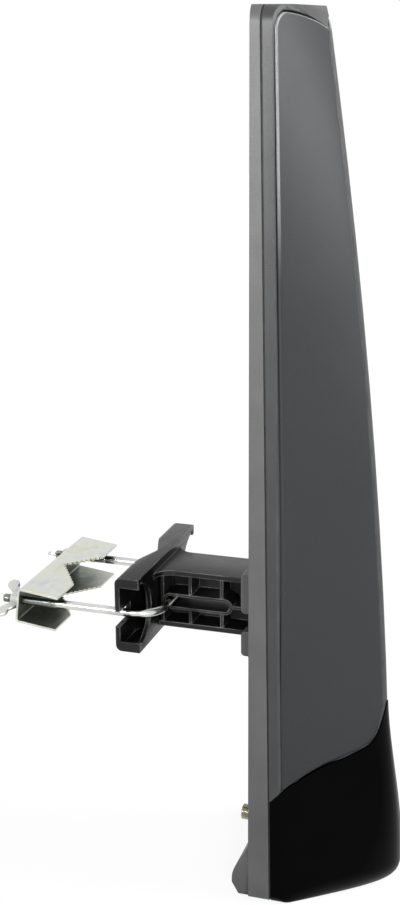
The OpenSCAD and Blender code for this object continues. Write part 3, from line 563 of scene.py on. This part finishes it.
class AntennaClamp(bpy.types.PropertyGroup):
    bracket_colour: bpy.props.FloatVectorProperty(
        name="Bracket colour", description="Black of the moulded mast bracket", subtype="COLOR", size=3,
        min=0, max=1, default=(0.0035, 0.0035, 0.0037))
    bracket_round: bpy.props.FloatProperty(
        name="Bracket rounding", description="Small round on the edges of the mast bracket",
        default=0.6 * MM, min=0.1 * MM, max=0.8 * MM, unit="LENGTH", subtype="DISTANCE")
    thread_pitch: bpy.props.FloatProperty(
        name="Rod thread pitch", description="Pitch of the thread on the clamp rods", default=0.8 * MM,
        min=0.5 * MM, max=1.25 * MM, unit="LENGTH", subtype="DISTANCE")
    thread_length: bpy.props.FloatProperty(
        name="Rod thread length", description="Threaded length of each rod end", default=34 * MM,
        min=15 * MM, max=60 * MM, unit="LENGTH", subtype="DISTANCE")
    socket_pitch: bpy.props.FloatProperty(
        name="Socket thread pitch", description="Pitch of the thread on the aerial socket",
        default=0.794 * MM, min=0.5 * MM, max=1.25 * MM, unit="LENGTH", subtype="DISTANCE")


class AntennaStage(bpy.types.PropertyGroup):
    key_power: bpy.props.FloatProperty(
        name="Left softbox", description="Power of the high softbox on the left", default=1.05,
        min=0, max=200, unit="POWER")
    fill_power: bpy.props.FloatProperty(
        name="Right softbox", description="Power of the narrow softbox on the right", default=1.2,
        min=0, max=200, unit="POWER")
    rim_power: bpy.props.FloatProperty(
        name="Far softbox", description="Power of the softbox in front of the nose", default=11.0,
        min=0, max=200, unit="POWER")
    low_power: bpy.props.FloatProperty(
        name="Low softbox", description="Power of the small softbox towards the lower end", default=0.06,
        min=0, max=200, unit="POWER")
    sky_level: bpy.props.FloatProperty(
        name="Sky level", description="Strength of the even studio light", default=0.55, min=0, max=2)


# Housing

class ANTENNA_OT_finishes(bpy.types.Operator):
    """Mix every finish and lay it on the CAD nodes."""
    bl_idname = "antenna.finishes"
    bl_label = "Finishes"

    def execute(self, context):
        MADE.update(finishes(context.scene.antenna_housing, context.scene.antenna_clamp))
        for node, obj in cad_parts.items():
            obj.material_slots[0].material = MADE[SLOT_OF[node]]
        return {"FINISHED"}


def panel_top(y):
    """Upper edge of the panel, which falls towards the nose and is rounded at its outer corner."""
    s = 1 - abs(y) / HALF_WIDTH
    past = max(abs(y) - (PANEL_OUT - PANEL_CORNER), 0)
    corner = PANEL_CORNER - math.sqrt(max(PANEL_CORNER ** 2 - past * past, 0))
    return TOP_Z - MARGIN / 2 - PANEL_TOP_FALL * s * s - corner


def panel_low(y):
    """Lower edge of the panel, along the cover's line."""
    return cover_line_z(flank_x(y, NOSE_LOW_Z)) + COVER_JOINT


def panel_outer(z):
    """Outer edge of the panel, which comes nearer to the margin towards the lower end."""
    return PANEL_OUT - PANEL_DRAWN_IN + PANEL_WIDENS * smooth_step((WIDENS_FROM_Z - z) / WIDENS_OVER)


def polish_and_highlight_at(y, z):
    """Polish and painted highlight of the rolled rim, which fade out downwards: sooner along the outer edge.
    """
    low, run = POLISH_AND_HIGHLIGHT_OUTER if abs(y) > PANEL_OUT / 2 else POLISH_AND_HIGHLIGHT_NOSE
    return smooth_step((z - low) / run)


# Points of a panel across and along it, and the angles of its rolled rim
PANEL_COLUMNS, PANEL_ROWS = 46, 110
ROLL_ANGLES = (5, 20, 36, 52, 68, 84, 90)
ROLL_WIDTH = 0.9
FACE_INSET = 0.3


def side_panel(name, side, bevel):
    """Satin inlay: a curved face inside a rolled rim, then the edge and the back."""
    columns, rows = PANEL_COLUMNS, PANEL_ROWS
    shares = [math.sin(math.pi / 2 * i / (columns - 1)) for i in range(columns)]
    roll = ROLL_WIDTH * bevel
    layers = [(roll + FACE_INSET, 0.0)]
    for angle in map(math.radians, ROLL_ANGLES):
        layers.append((roll * (1 - math.sin(angle)), bevel * (1 - math.cos(angle))))
    layers.append((0.0, PANEL_THICK))
    back = len(layers) - 1
    verts = []
    for inset, depth in layers:
        for j in range(rows):
            for share in shares:
                nominal = PANEL_IN + (PANEL_OUT - PANEL_IN) * share
                low, high = panel_low(nominal) + inset, panel_top(nominal) - inset
                z = low + (high - low) * j / (rows - 1)
                y = PANEL_IN + inset + (panel_outer(z) - PANEL_IN - 2 * inset) * share
                verts.append((flank_x(y, z) - depth, side * y, z))
    size = columns * rows
    faces = grid_faces(rows, columns) + grid_faces(rows, columns, back * size)
    rim = (list(range(columns)) + [j * columns + columns - 1 for j in range(1, rows)]
           + [(rows - 1) * columns + i for i in range(columns - 2, -1, -1)]
           + [j * columns for j in range(rows - 2, 0, -1)])
    for layer in range(back):
        for a, b in zip(rim, rim[1:] + rim[:1]):
            p, q = a + layer * size, b + layer * size
            faces.append((p, q, q + size, p + size))
    shaded_inside = set(range(size)) - set(rim)
    used = [v for v in range(len(verts)) if v // size in (0, back) or v % size not in shaded_inside]
    number = {old: new for new, old in enumerate(used)}
    verts = [verts[v] for v in used]
    faces = [tuple(number[v] for v in face) for face in faces]
    obj = solid(name, verts, faces, "antenna", "panel", sharp=40)
    if len(obj.data.vertices) != len(verts):
        raise RuntimeError("side panel has doubled points")
    # Polish mark of the rolled rim: glossier roughness and a painted highlight in its colour
    polish_and_highlight = obj.data.attributes.new("polish_and_highlight", "FLOAT", "POINT")
    for new, old in enumerate(used):
        on_roll = 1 < old // size < back - 1
        polish_and_highlight.data[new].value = polish_and_highlight_at(verts[new][1], verts[new][2]) if on_roll else 0.0
    return obj


class ANTENNA_OT_side_panels(bpy.types.Operator):
    """Make both satin side panels with their rolled rims."""
    bl_idname = "antenna.side_panels"
    bl_label = "Side panels"

    def execute(self, context):
        bevel = context.scene.antenna_housing.panel_bevel / MM
        for side, node in ((1, "side_panel_left"), (-1, "side_panel_right")):
            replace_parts(side_panel(node + "_satin", side, bevel), node)
        return {"FINISHED"}


def cover_half_width(z):
    """Half width of the housing, rounded in at its lower corners."""
    past = max(LOW_CORNER - (z - LOW_Z), 0)
    return HALF_WIDTH - LOW_CORNER + math.sqrt(max(LOW_CORNER ** 2 - past ** 2, 0))


# Flat strip at each side as a share of the way round, and how far points crowd towards the nose
STRIP_SHARE = 0.07
NOSE_CROWD = 1.25


def cover_place(u, z):
    """A place on the cover's outside, (x, y), at a share of the way round from seam to seam."""
    side = -1 if u < 0.5 else 1
    half = cover_half_width(z)
    share = min(u, 1 - u) / STRIP_SHARE
    if share < 1:
        back = seam_x(z) + GASKET
        return back + (cover_x(half, z) - back) * share, side * half
    s = (u - 0.5) / (0.5 - STRIP_SHARE)
    s = math.copysign(abs(s) ** NOSE_CROWD, s)
    return cover_x(s * half, z), s * half


def cover_point(u, level):
    """A point of the cover's outside, at a share of its height there."""
    top = LOW_Z + COVER_HEIGHT
    for _ in range(12):
        top = cover_line_z(cover_place(u, top)[0]) - COVER_JOINT / 2
    z = LOW_Z + (top - LOW_Z) * level
    x, y = cover_place(u, z)
    return x, y, z


def lower_cover(lip):
    """Gloss wrap-round cover: outer skin and floor, given their wall and a rounded lip."""
    columns, bends, rises = 121, 9, 44
    bend = COVER_EDGE / COVER_MEAN_HEIGHT
    levels = [bend * (1 - math.cos(math.pi / 2 * j / bends)) for j in range(bends + 1)]
    levels += [bend + (1 - bend) * j / rises for j in range(1, rises + 1)]
    verts = [cover_point(i / (columns - 1), level) for level in levels for i in range(columns)]
    faces = grid_faces(len(levels), columns)
    faces.append(tuple(reversed(range(columns))))
    obj = solid("lower_cover_gloss", verts, faces, "antenna", "gloss_black")
    thick = obj.modifiers.new("wall", "SOLIDIFY")
    thick.thickness = COVER_WALL * MM
    edge = obj.modifiers.new("lip", "BEVEL")
    edge.width = lip
    edge.segments = 3
    edge.limit_method = "ANGLE"
    edge.angle_limit = math.radians(50)
    keep_modified(obj)
    obj.data.shade_smooth()
    obj.data.set_sharp_from_angle(angle=math.radians(32))
    return obj


class ANTENNA_OT_lower_cover(bpy.types.Operator):
    """Make the gloss black cover round the lower end."""
    bl_idname = "antenna.lower_cover"
    bl_label = "Lower cover"

    def execute(self, context):
        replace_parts(lower_cover(context.scene.antenna_housing.cover_lip), "lower_cover")
        return {"FINISHED"}


# Clamp

# Rod in millimetres: x runs towards the nose, and its legs lie on both sides of the arm
ROD_R = 2.5
ROD_LEG = 37.5
ROD_BEND = 16.0
ROD_CROSS = 21.0
ROD_TAIL = 74.0
ROD_TIP = ((0.0, 1.55), (0.12, 1.75), (0.75, 2.38))
ROD_THREAD_DEPTH = 0.46
THREAD_RUN_OUT = 2.0
THREAD_CREST = 1.35


def thread_cut(along, angle, pitch, depth):
    """Depth of a rounded V thread at a place on the rod."""
    t = (along / pitch + angle / (2 * math.pi)) % 1.0
    return depth * max(0.0, 1 - abs(2 * t - 1) * THREAD_CREST) ** 0.9


def u_bolt(pitch, length):
    """Bent rod with rolled threads on both ends, swept along its centre line."""
    parts, leg_parts, bend_parts, cross_parts = 32, 12, 28, 8
    step = pitch / 10
    tip = ROD_TIP[-1][0]
    threaded = int(length / step)
    leg = ROD_TAIL + ROD_CROSS - ROD_BEND
    arc = math.pi / 2 * ROD_BEND
    half_cross = ROD_LEG - ROD_BEND
    middle = leg + arc + half_cross
    stations = list(ROD_TIP) + [(tip + step * (i + 1), 0.0) for i in range(threaded)]
    last = stations[-1][0]
    stations += [(last + (leg - last) * i / leg_parts, ROD_R) for i in range(1, leg_parts + 1)]
    stations += [(leg + arc * i / bend_parts, ROD_R) for i in range(1, bend_parts + 1)]
    stations += [(leg + arc + half_cross * i / cross_parts, ROD_R) for i in range(1, cross_parts + 1)]
    whole = stations + [(2 * middle - s, r) for s, r in reversed(stations[:-1])]

    def centre(s):
        """Place on the centre line and the direction across it, both as (x, y)."""
        end = 1
        if s > middle:
            s, end = 2 * middle - s, -1
        if s <= leg:
            return (-ROD_TAIL + s, -end * ROD_LEG), (0.0, end)
        if s <= leg + arc:
            a = (s - leg) / ROD_BEND
            x = ROD_CROSS - ROD_BEND + ROD_BEND * math.sin(a)
            y = half_cross + ROD_BEND * math.cos(a)
            return (x, -end * y), (-math.sin(a), end * math.cos(a))
        return (ROD_CROSS, -end * (middle - s)), (-1.0, 0.0)

    verts = []
    for s, r in whole:
        (cx, cy), (nx, ny) = centre(s)
        own = min(s, 2 * middle - s)
        fade = min(1.0, (last - own) / THREAD_RUN_OUT)
        for i in range(parts):
            a = 2 * math.pi * i / parts
            radius = r or ROD_R - thread_cut(own, a, pitch, ROD_THREAD_DEPTH) * fade
            across = radius * math.cos(a)
            verts.append((cx + nx * across, cy + ny * across, radius * math.sin(a)))
    faces = grid_faces(len(whole), parts, closed=True)
    faces.append(tuple(range(parts)))
    faces.append(tuple(range(len(verts) - parts, len(verts))))
    return solid("u_bolt_threaded", verts, faces, "bolt", "zinc_rod", sharp=48)


class ANTENNA_OT_u_bolt(bpy.types.Operator):
    """Make the bent clamp rod with its threads."""
    bl_idname = "antenna.u_bolt"
    bl_label = "Clamp rod"

    def execute(self, context):
        clamp = context.scene.antenna_clamp
        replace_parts(u_bolt(clamp.thread_pitch / MM, clamp.thread_length / MM), "u_bolt")
        return {"FINISHED"}


# Wing nuts in millimetres and degrees. Outlines are (along the rod, radius), layers (half thickness, inset)
NUT_X = -68.91
NUT_H = 6.0
NUT_R = 5.0
NUT_BORE = 2.72
NUT_COLLAR = ((0.0, NUT_BORE), (0.3, NUT_R - 1.4), (0.7, NUT_R - 1.0), (NUT_H - 0.5, NUT_R - 0.1),
              (NUT_H, NUT_R - 0.5), (NUT_H, NUT_BORE))
WING_SPAN = 27.0
WING_H = 12.0
WING_EAR = 3.6
WING_ROOT = 2.9
WING_FOOT = ((5.2, WING_ROOT), (1.0, WING_ROOT))
WING_SHOULDER = (5.2, 5.6)
WING_LAYERS = ((-1.1, 0.4), (-0.7, 0.0), (0.7, 0.0), (1.1, 0.4))
MELT_VOXEL = 0.26
LEFT_TURN = 158
RIGHT_TURN = 29


def wing_outline():
    """Side view of one wing, from the collar out to the rounded ear: (along the rod, radial)."""
    x, r = NUT_H - WING_H + WING_EAR, WING_SPAN / 2 - WING_EAR
    ear = [(x + WING_EAR * math.cos(a), r + WING_EAR * math.sin(a))
           for a in (math.radians(d) for d in range(205, -21, -15))]
    return [*WING_FOOT, *ear, WING_SHOULDER]


def wing_nut(name, side, turn, body):
    """Cast wing nut: collar, two wings and bore, melted together by a voxel remesh."""
    verts, faces = lathe(NUT_COLLAR, 48)
    outline = wing_outline()
    count = len(outline)
    mid_x, mid_r = (sum(values) / count for values in zip(*outline))
    for s in (-1, 1):
        base = len(verts)
        for half, inset in WING_LAYERS:
            for x, r in outline:
                k = 1 - inset / math.hypot(x - mid_x, r - mid_r)
                verts.append((mid_x + (x - mid_x) * k, s * (mid_r + (r - mid_r) * k), half))
        faces += grid_faces(len(WING_LAYERS), count, base, closed=True)
        faces.append(tuple(range(base, base + count)))
        faces.append(tuple(reversed(range(len(verts) - count, len(verts)))))
    place = Matrix.Translation((NUT_X, side * ROD_LEG, 0)) @ Matrix.Rotation(math.radians(turn), 4, "X")
    obj = solid(name, [place @ Vector(v) for v in verts], faces, body, "zinc_nut")
    melt = obj.modifiers.new("melt", "REMESH")
    melt.mode = "VOXEL"
    melt.voxel_size = MELT_VOXEL * MM
    calm = obj.modifiers.new("calm", "SMOOTH")
    calm.factor = 0.5
    calm.iterations = 4
    keep_modified(obj)
    obj.data.shade_smooth()
    return obj


class ANTENNA_OT_wing_nuts(bpy.types.Operator):
    """Make both wing nuts."""
    bl_idname = "antenna.wing_nuts"
    bl_label = "Wing nuts"

    def execute(self, context):
        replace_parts(wing_nut("wing_nut_left_cast", 1, LEFT_TURN, "left_nut"), "wing_nut_left")
        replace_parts(wing_nut("wing_nut_right_cast", -1, RIGHT_TURN, "right_nut"), "wing_nut_right")
        return {"FINISHED"}


# Aerial socket

# Socket in millimetres, from the tip of its mouth to the end of its shank
SOCKET_Z = -139.0
SOCKET_TIP = 60.5
SOCKET_END = 82.95
SOCKET_R = 4.75
SOCKET_BORE = 3.55
SOCKET_THREAD = 9.6
SOCKET_THREAD_DEPTH = 0.42
SHANK_R = SOCKET_R - 0.22
SHANK_SLOPE = 0.4

# Mouth of the socket: (behind its tip, radius), from the bore round to the start of the thread
MOUTH = ((1.05, SOCKET_BORE), (0.0, SOCKET_BORE + 0.1), (0.0, SOCKET_R - 0.55), (0.5, SOCKET_R - 0.08))
BORE_START = 1.1

# Nut of the socket, and steps across its chamfers
HEX_FLATS = 11.0
HEX_BACK, HEX_FRONT = 70.8, 73.3
HEX_BORE = 4.58
HEX_CHAMFER = (0.0, 0.15, 0.3, 0.5)
HEX_LAND = 0.05
HEX_SLOPE = 1.75


def socket_body(pitch):
    """Threaded F socket: chamfered mouth, thread up to the nut, plain shank to the board."""
    step = pitch / 8
    profile = [(SOCKET_TIP + behind, radius) for behind, radius in MOUTH]
    start = profile[-1][0]
    profile += [(start + step * (i + 1), SOCKET_R) for i in range(int(SOCKET_THREAD / step))]
    end = profile[-1][0]
    profile += [(end + SHANK_SLOPE, SHANK_R), (SOCKET_END, SHANK_R), (SOCKET_END, SOCKET_BORE),
                (SOCKET_TIP + BORE_START, SOCKET_BORE)]

    def thread(x, radius, angle):
        if radius == SOCKET_R and start < x <= end:
            return radius - thread_cut(x, angle, pitch, SOCKET_THREAD_DEPTH) * min(1.0, end - x + 0.05)
        return radius

    verts, faces = lathe(profile, 40, thread)
    verts = raised(verts, SOCKET_Z)
    return solid("connector_body_threaded", verts, faces, "antenna", "socket_metal", sharp=40)


def socket_nut():
    """Chamfered hexagon nut behind the seal."""
    flat = HEX_FLATS / 2
    stock = flat + 1

    def hexagon(x, radius, angle):
        if radius < flat:
            return radius
        off = (angle + math.pi / 6) % (math.pi / 3) - math.pi / 6
        ease = min(x - HEX_BACK, HEX_FRONT - x)
        return min(flat / math.cos(off), flat + HEX_LAND + ease * HEX_SLOPE)

    profile = [(HEX_BACK, HEX_BORE)] + [(HEX_BACK + d, stock) for d in HEX_CHAMFER]
    profile += [(HEX_FRONT - d, stock) for d in reversed(HEX_CHAMFER)] + [(HEX_FRONT, HEX_BORE)]
    verts, faces = lathe(profile, 96, hexagon)
    verts = raised(verts, SOCKET_Z)
    return solid("connector_nut_hexagon", verts, faces, "antenna", "socket_metal", sharp=28)


class ANTENNA_OT_socket(bpy.types.Operator):
    """Make the threaded aerial socket and its nut."""
    bl_idname = "antenna.socket"
    bl_label = "Aerial socket"

    def execute(self, context):
        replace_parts(socket_body(context.scene.antenna_clamp.socket_pitch / MM), "connector_body")
        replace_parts(socket_nut(), "connector_nut")
        return {"FINISHED"}


# Shells and bracket

def moulded_copy(node, name, round_width=0.0):
    """A CAD node's own form, welded and shaded smooth. Given a width, its edges are broken by a round."""
    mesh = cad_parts[node].data.copy()
    obj = bpy.data.objects.new(name, mesh)
    bpy.context.scene.collection.objects.link(obj)
    bm = bmesh.new()
    bm.from_mesh(mesh)
    bmesh.ops.remove_doubles(bm, verts=bm.verts, dist=2e-6)
    bmesh.ops.dissolve_limit(bm, angle_limit=math.radians(0.4), verts=bm.verts, edges=bm.edges)
    bm.to_mesh(mesh)
    bm.free()
    if round_width:
        edge = obj.modifiers.new("edge", "BEVEL")
        edge.width = round_width
        edge.segments = 3
        edge.limit_method = "ANGLE"
        edge.angle_limit = math.radians(40)
        edge.miter_outer = "MITER_ARC"
        keep_modified(obj)
    obj.data.shade_smooth()
    obj.data.set_sharp_from_angle(angle=math.radians(32))
    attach(obj, "antenna")
    obj.data.materials.clear()
    obj.data.materials.append(MADE[SLOT_OF[node]])
    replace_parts(obj, node)


class ANTENNA_OT_shells(bpy.types.Operator):
    """Smooth the forms of both shells."""
    bl_idname = "antenna.shells"
    bl_label = "Shells"

    def execute(self, context):
        moulded_copy("front_shell", "front_shell_moulded")
        moulded_copy("rear_shell", "rear_shell_moulded")
        return {"FINISHED"}


class ANTENNA_OT_bracket(bpy.types.Operator):
    """Break the edges of the moulded mast bracket."""
    bl_idname = "antenna.bracket"
    bl_label = "Mast bracket"

    def execute(self, context):
        moulded_copy("mast_bracket", "mast_bracket_moulded", context.scene.antenna_clamp.bracket_round)
        return {"FINISHED"}


# Stage

# Camera in metres, its line of sight and its lens
CAMERA_PLACE = (0.2817, -0.7409, 0.3199)
CAMERA_SIGHT = (-0.2762, 0.9176, -0.2860)
CAMERA_LENS = 56.9
CAMERA_SENSOR = 36
CAMERA_SHIFT = -0.0442
FLOOR_GAP = 0.0006
FLOOR_HALF = 4.0


class ANTENNA_OT_stage(bpy.types.Operator):
    """Set the pale floor, the soft lamps and the camera."""
    bl_idname = "antenna.stage"
    bl_label = "Stage"

    def lamp(self, name, place, size, power, target, beam=180):
        """A softbox that faces its target, with its beam in degrees."""
        data = bpy.data.lights.new(name, "AREA")
        data.spread = math.radians(beam)
        data.shape = "RECTANGLE"
        data.size, data.size_y = size
        data.energy = power
        obj = bpy.data.objects.new(name, data)
        bpy.context.scene.collection.objects.link(obj)
        obj.location = place
        obj.rotation_mode = "QUATERNION"
        obj.rotation_quaternion = (Vector(target) - Vector(place)).to_track_quat("-Z", "Y")

    def shown(self, tree):
        """1 for what is seen straight or by way of gloss and glass, 0 for what only lights."""
        path = tree.nodes.new("ShaderNodeLightPath")
        total = path.outputs["Is Camera Ray"]
        for kind in ("Is Glossy Ray", "Is Transmission Ray"):
            more = tree.nodes.new("ShaderNodeMath")
            more.operation = "MAXIMUM"
            tree.links.new(total, more.inputs[0])
            tree.links.new(path.outputs[kind], more.inputs[1])
            total = more.outputs[0]
        return total

    def studio_light(self, level):
        """Even white light all round, full white where it is seen."""
        world = bpy.data.worlds.new("studio")
        bpy.context.scene.world = world
        world.use_nodes = True
        tree = world.node_tree
        even = tree.nodes["Background"]
        seen = tree.nodes.new("ShaderNodeBackground")
        for light, strength in ((even, level), (seen, 1.0)):
            light.inputs["Color"].default_value = (1, 1, 1, 1)
            light.inputs["Strength"].default_value = strength
        mix = tree.nodes.new("ShaderNodeMixShader")
        tree.links.new(self.shown(tree), mix.inputs["Fac"])
        tree.links.new(even.outputs[0], mix.inputs[1])
        tree.links.new(seen.outputs[0], mix.inputs[2])
        tree.links.new(mix.outputs[0], tree.nodes["World Output"].inputs["Surface"])

    def floor(self):
        """White paper that fades into the white round it and keeps the antenna's shadow."""
        paper = Finish("floor_paper")
        tree = paper.material.node_tree
        paper.lay("Base Color", paper.ramp(paper.noise(3, 2), [(0.3, (0.93, 0.93, 0.93)),
                                                               (0.7, (0.95, 0.95, 0.95))]))
        paper.set(Roughness=0.85, Specular_IOR_Level=0.1)
        white = paper.nodes.new("ShaderNodeEmission")
        white.inputs["Strength"].default_value = 1.05
        reach = paper.nodes.new("ShaderNodeVectorMath")
        reach.operation = "LENGTH"
        paper.link(paper.place, reach.inputs[0])
        fade = paper.spread(reach.outputs["Value"], 0.84, 1.0, 0.25, 0.75)
        share = paper.nodes.new("ShaderNodeMath")
        share.operation = "MULTIPLY"
        paper.link(self.shown(tree), share.inputs[0])
        paper.link(fade, share.inputs[1])
        glow = paper.nodes.new("ShaderNodeMixShader")
        paper.link(share.outputs[0], glow.inputs["Fac"])
        paper.link(paper.shader.outputs[0], glow.inputs[1])
        paper.link(white.outputs[0], glow.inputs[2])
        paper.link(glow.outputs[0], paper.nodes["Material Output"].inputs["Surface"])
        mesh = bpy.data.meshes.new("floor")
        z = LOWEST.z - FLOOR_GAP
        corners = [(x * FLOOR_HALF, y * FLOOR_HALF, z) for x, y in ((-1, -1), (1, -1), (1, 1), (-1, 1))]
        mesh.from_pydata(corners, [], [(0, 1, 2, 3)])
        mesh.materials.append(paper.material)
        floor = bpy.data.objects.new("floor", mesh)
        bpy.context.scene.collection.objects.link(floor)

    def camera(self, scene):
        """The photo's view: the near flank from its nose side, looking a little down."""
        data = bpy.data.cameras.new("view")
        data.lens = CAMERA_LENS
        data.sensor_width = CAMERA_SENSOR
        data.shift_x = CAMERA_SHIFT
        data.clip_start, data.clip_end = 0.05, 20
        camera = bpy.data.objects.new("view", data)
        scene.collection.objects.link(camera)
        camera.location = CAMERA_PLACE
        camera.rotation_mode = "QUATERNION"
        camera.rotation_quaternion = Vector(CAMERA_SIGHT).to_track_quat("-Z", "Y")
        scene.camera = camera

    def execute(self, context):
        stage = context.scene.antenna_stage
        upper, lower = (0.10, -0.02, 0.30), (0.12, -0.03, -0.08)
        self.studio_light(stage.sky_level)
        self.floor()
        self.lamp("left_box", (-0.30, -1.05, 0.50), (0.50, 0.30), stage.key_power, (0.09, -0.04, 0.30), 46)
        self.lamp("right_box", (0.48, -0.94, 0.46), (0.10, 0.45), stage.fill_power, upper, 60)
        self.lamp("far_box", (1.08, 0.16, 0.52), (0.55, 0.40), stage.rim_power, upper)
        self.lamp("low_box", (0.52, -0.66, 0.02), (0.20, 0.20), stage.low_power, lower, 34)
        self.camera(context.scene)
        context.scene.view_settings.view_transform = "Standard"
        return {"FINISHED"}


class ANTENNA_PT_panel(bpy.types.Panel):
    """Lists the antenna's settings and pieces."""
    bl_idname = "ANTENNA_PT_panel"
    bl_label = "Outdoor antenna"
    bl_space_type = "VIEW_3D"
    bl_region_type = "UI"
    bl_category = "Antenna"

    def draw(self, context):
        layout = self.layout
        scene = context.scene
        for group in (scene.antenna_housing, scene.antenna_clamp, scene.antenna_stage):
            box = layout.box()
            for name in group.__annotations__:
                box.prop(group, name)
        for operator in OPERATORS:
            layout.operator(operator.bl_idname)


OPERATORS = (ANTENNA_OT_finishes, ANTENNA_OT_side_panels, ANTENNA_OT_lower_cover, ANTENNA_OT_shells,
             ANTENNA_OT_bracket, ANTENNA_OT_u_bolt, ANTENNA_OT_wing_nuts, ANTENNA_OT_socket, ANTENNA_OT_stage)
GROUPS = (AntennaHousing, AntennaClamp, AntennaStage)


def register():
    for item in (*GROUPS, *OPERATORS, ANTENNA_PT_panel):
        bpy.utils.register_class(item)
    bpy.types.Scene.antenna_housing = bpy.props.PointerProperty(type=AntennaHousing)
    bpy.types.Scene.antenna_clamp = bpy.props.PointerProperty(type=AntennaClamp)
    bpy.types.Scene.antenna_stage = bpy.props.PointerProperty(type=AntennaStage)


def unregister():
    del bpy.types.Scene.antenna_stage
    del bpy.types.Scene.antenna_clamp
    del bpy.types.Scene.antenna_housing
    for item in reversed((*GROUPS, *OPERATORS, ANTENNA_PT_panel)):
        bpy.utils.unregister_class(item)


def main():
    register()
    bpy.ops.antenna.finishes()
    bpy.ops.antenna.side_panels()
    bpy.ops.antenna.lower_cover()
    bpy.ops.antenna.shells()
    bpy.ops.antenna.bracket()
    bpy.ops.antenna.u_bolt()
    bpy.ops.antenna.wing_nuts()
    bpy.ops.antenna.socket()
    bpy.ops.antenna.stage()


if __name__ == "__main__":
    main()
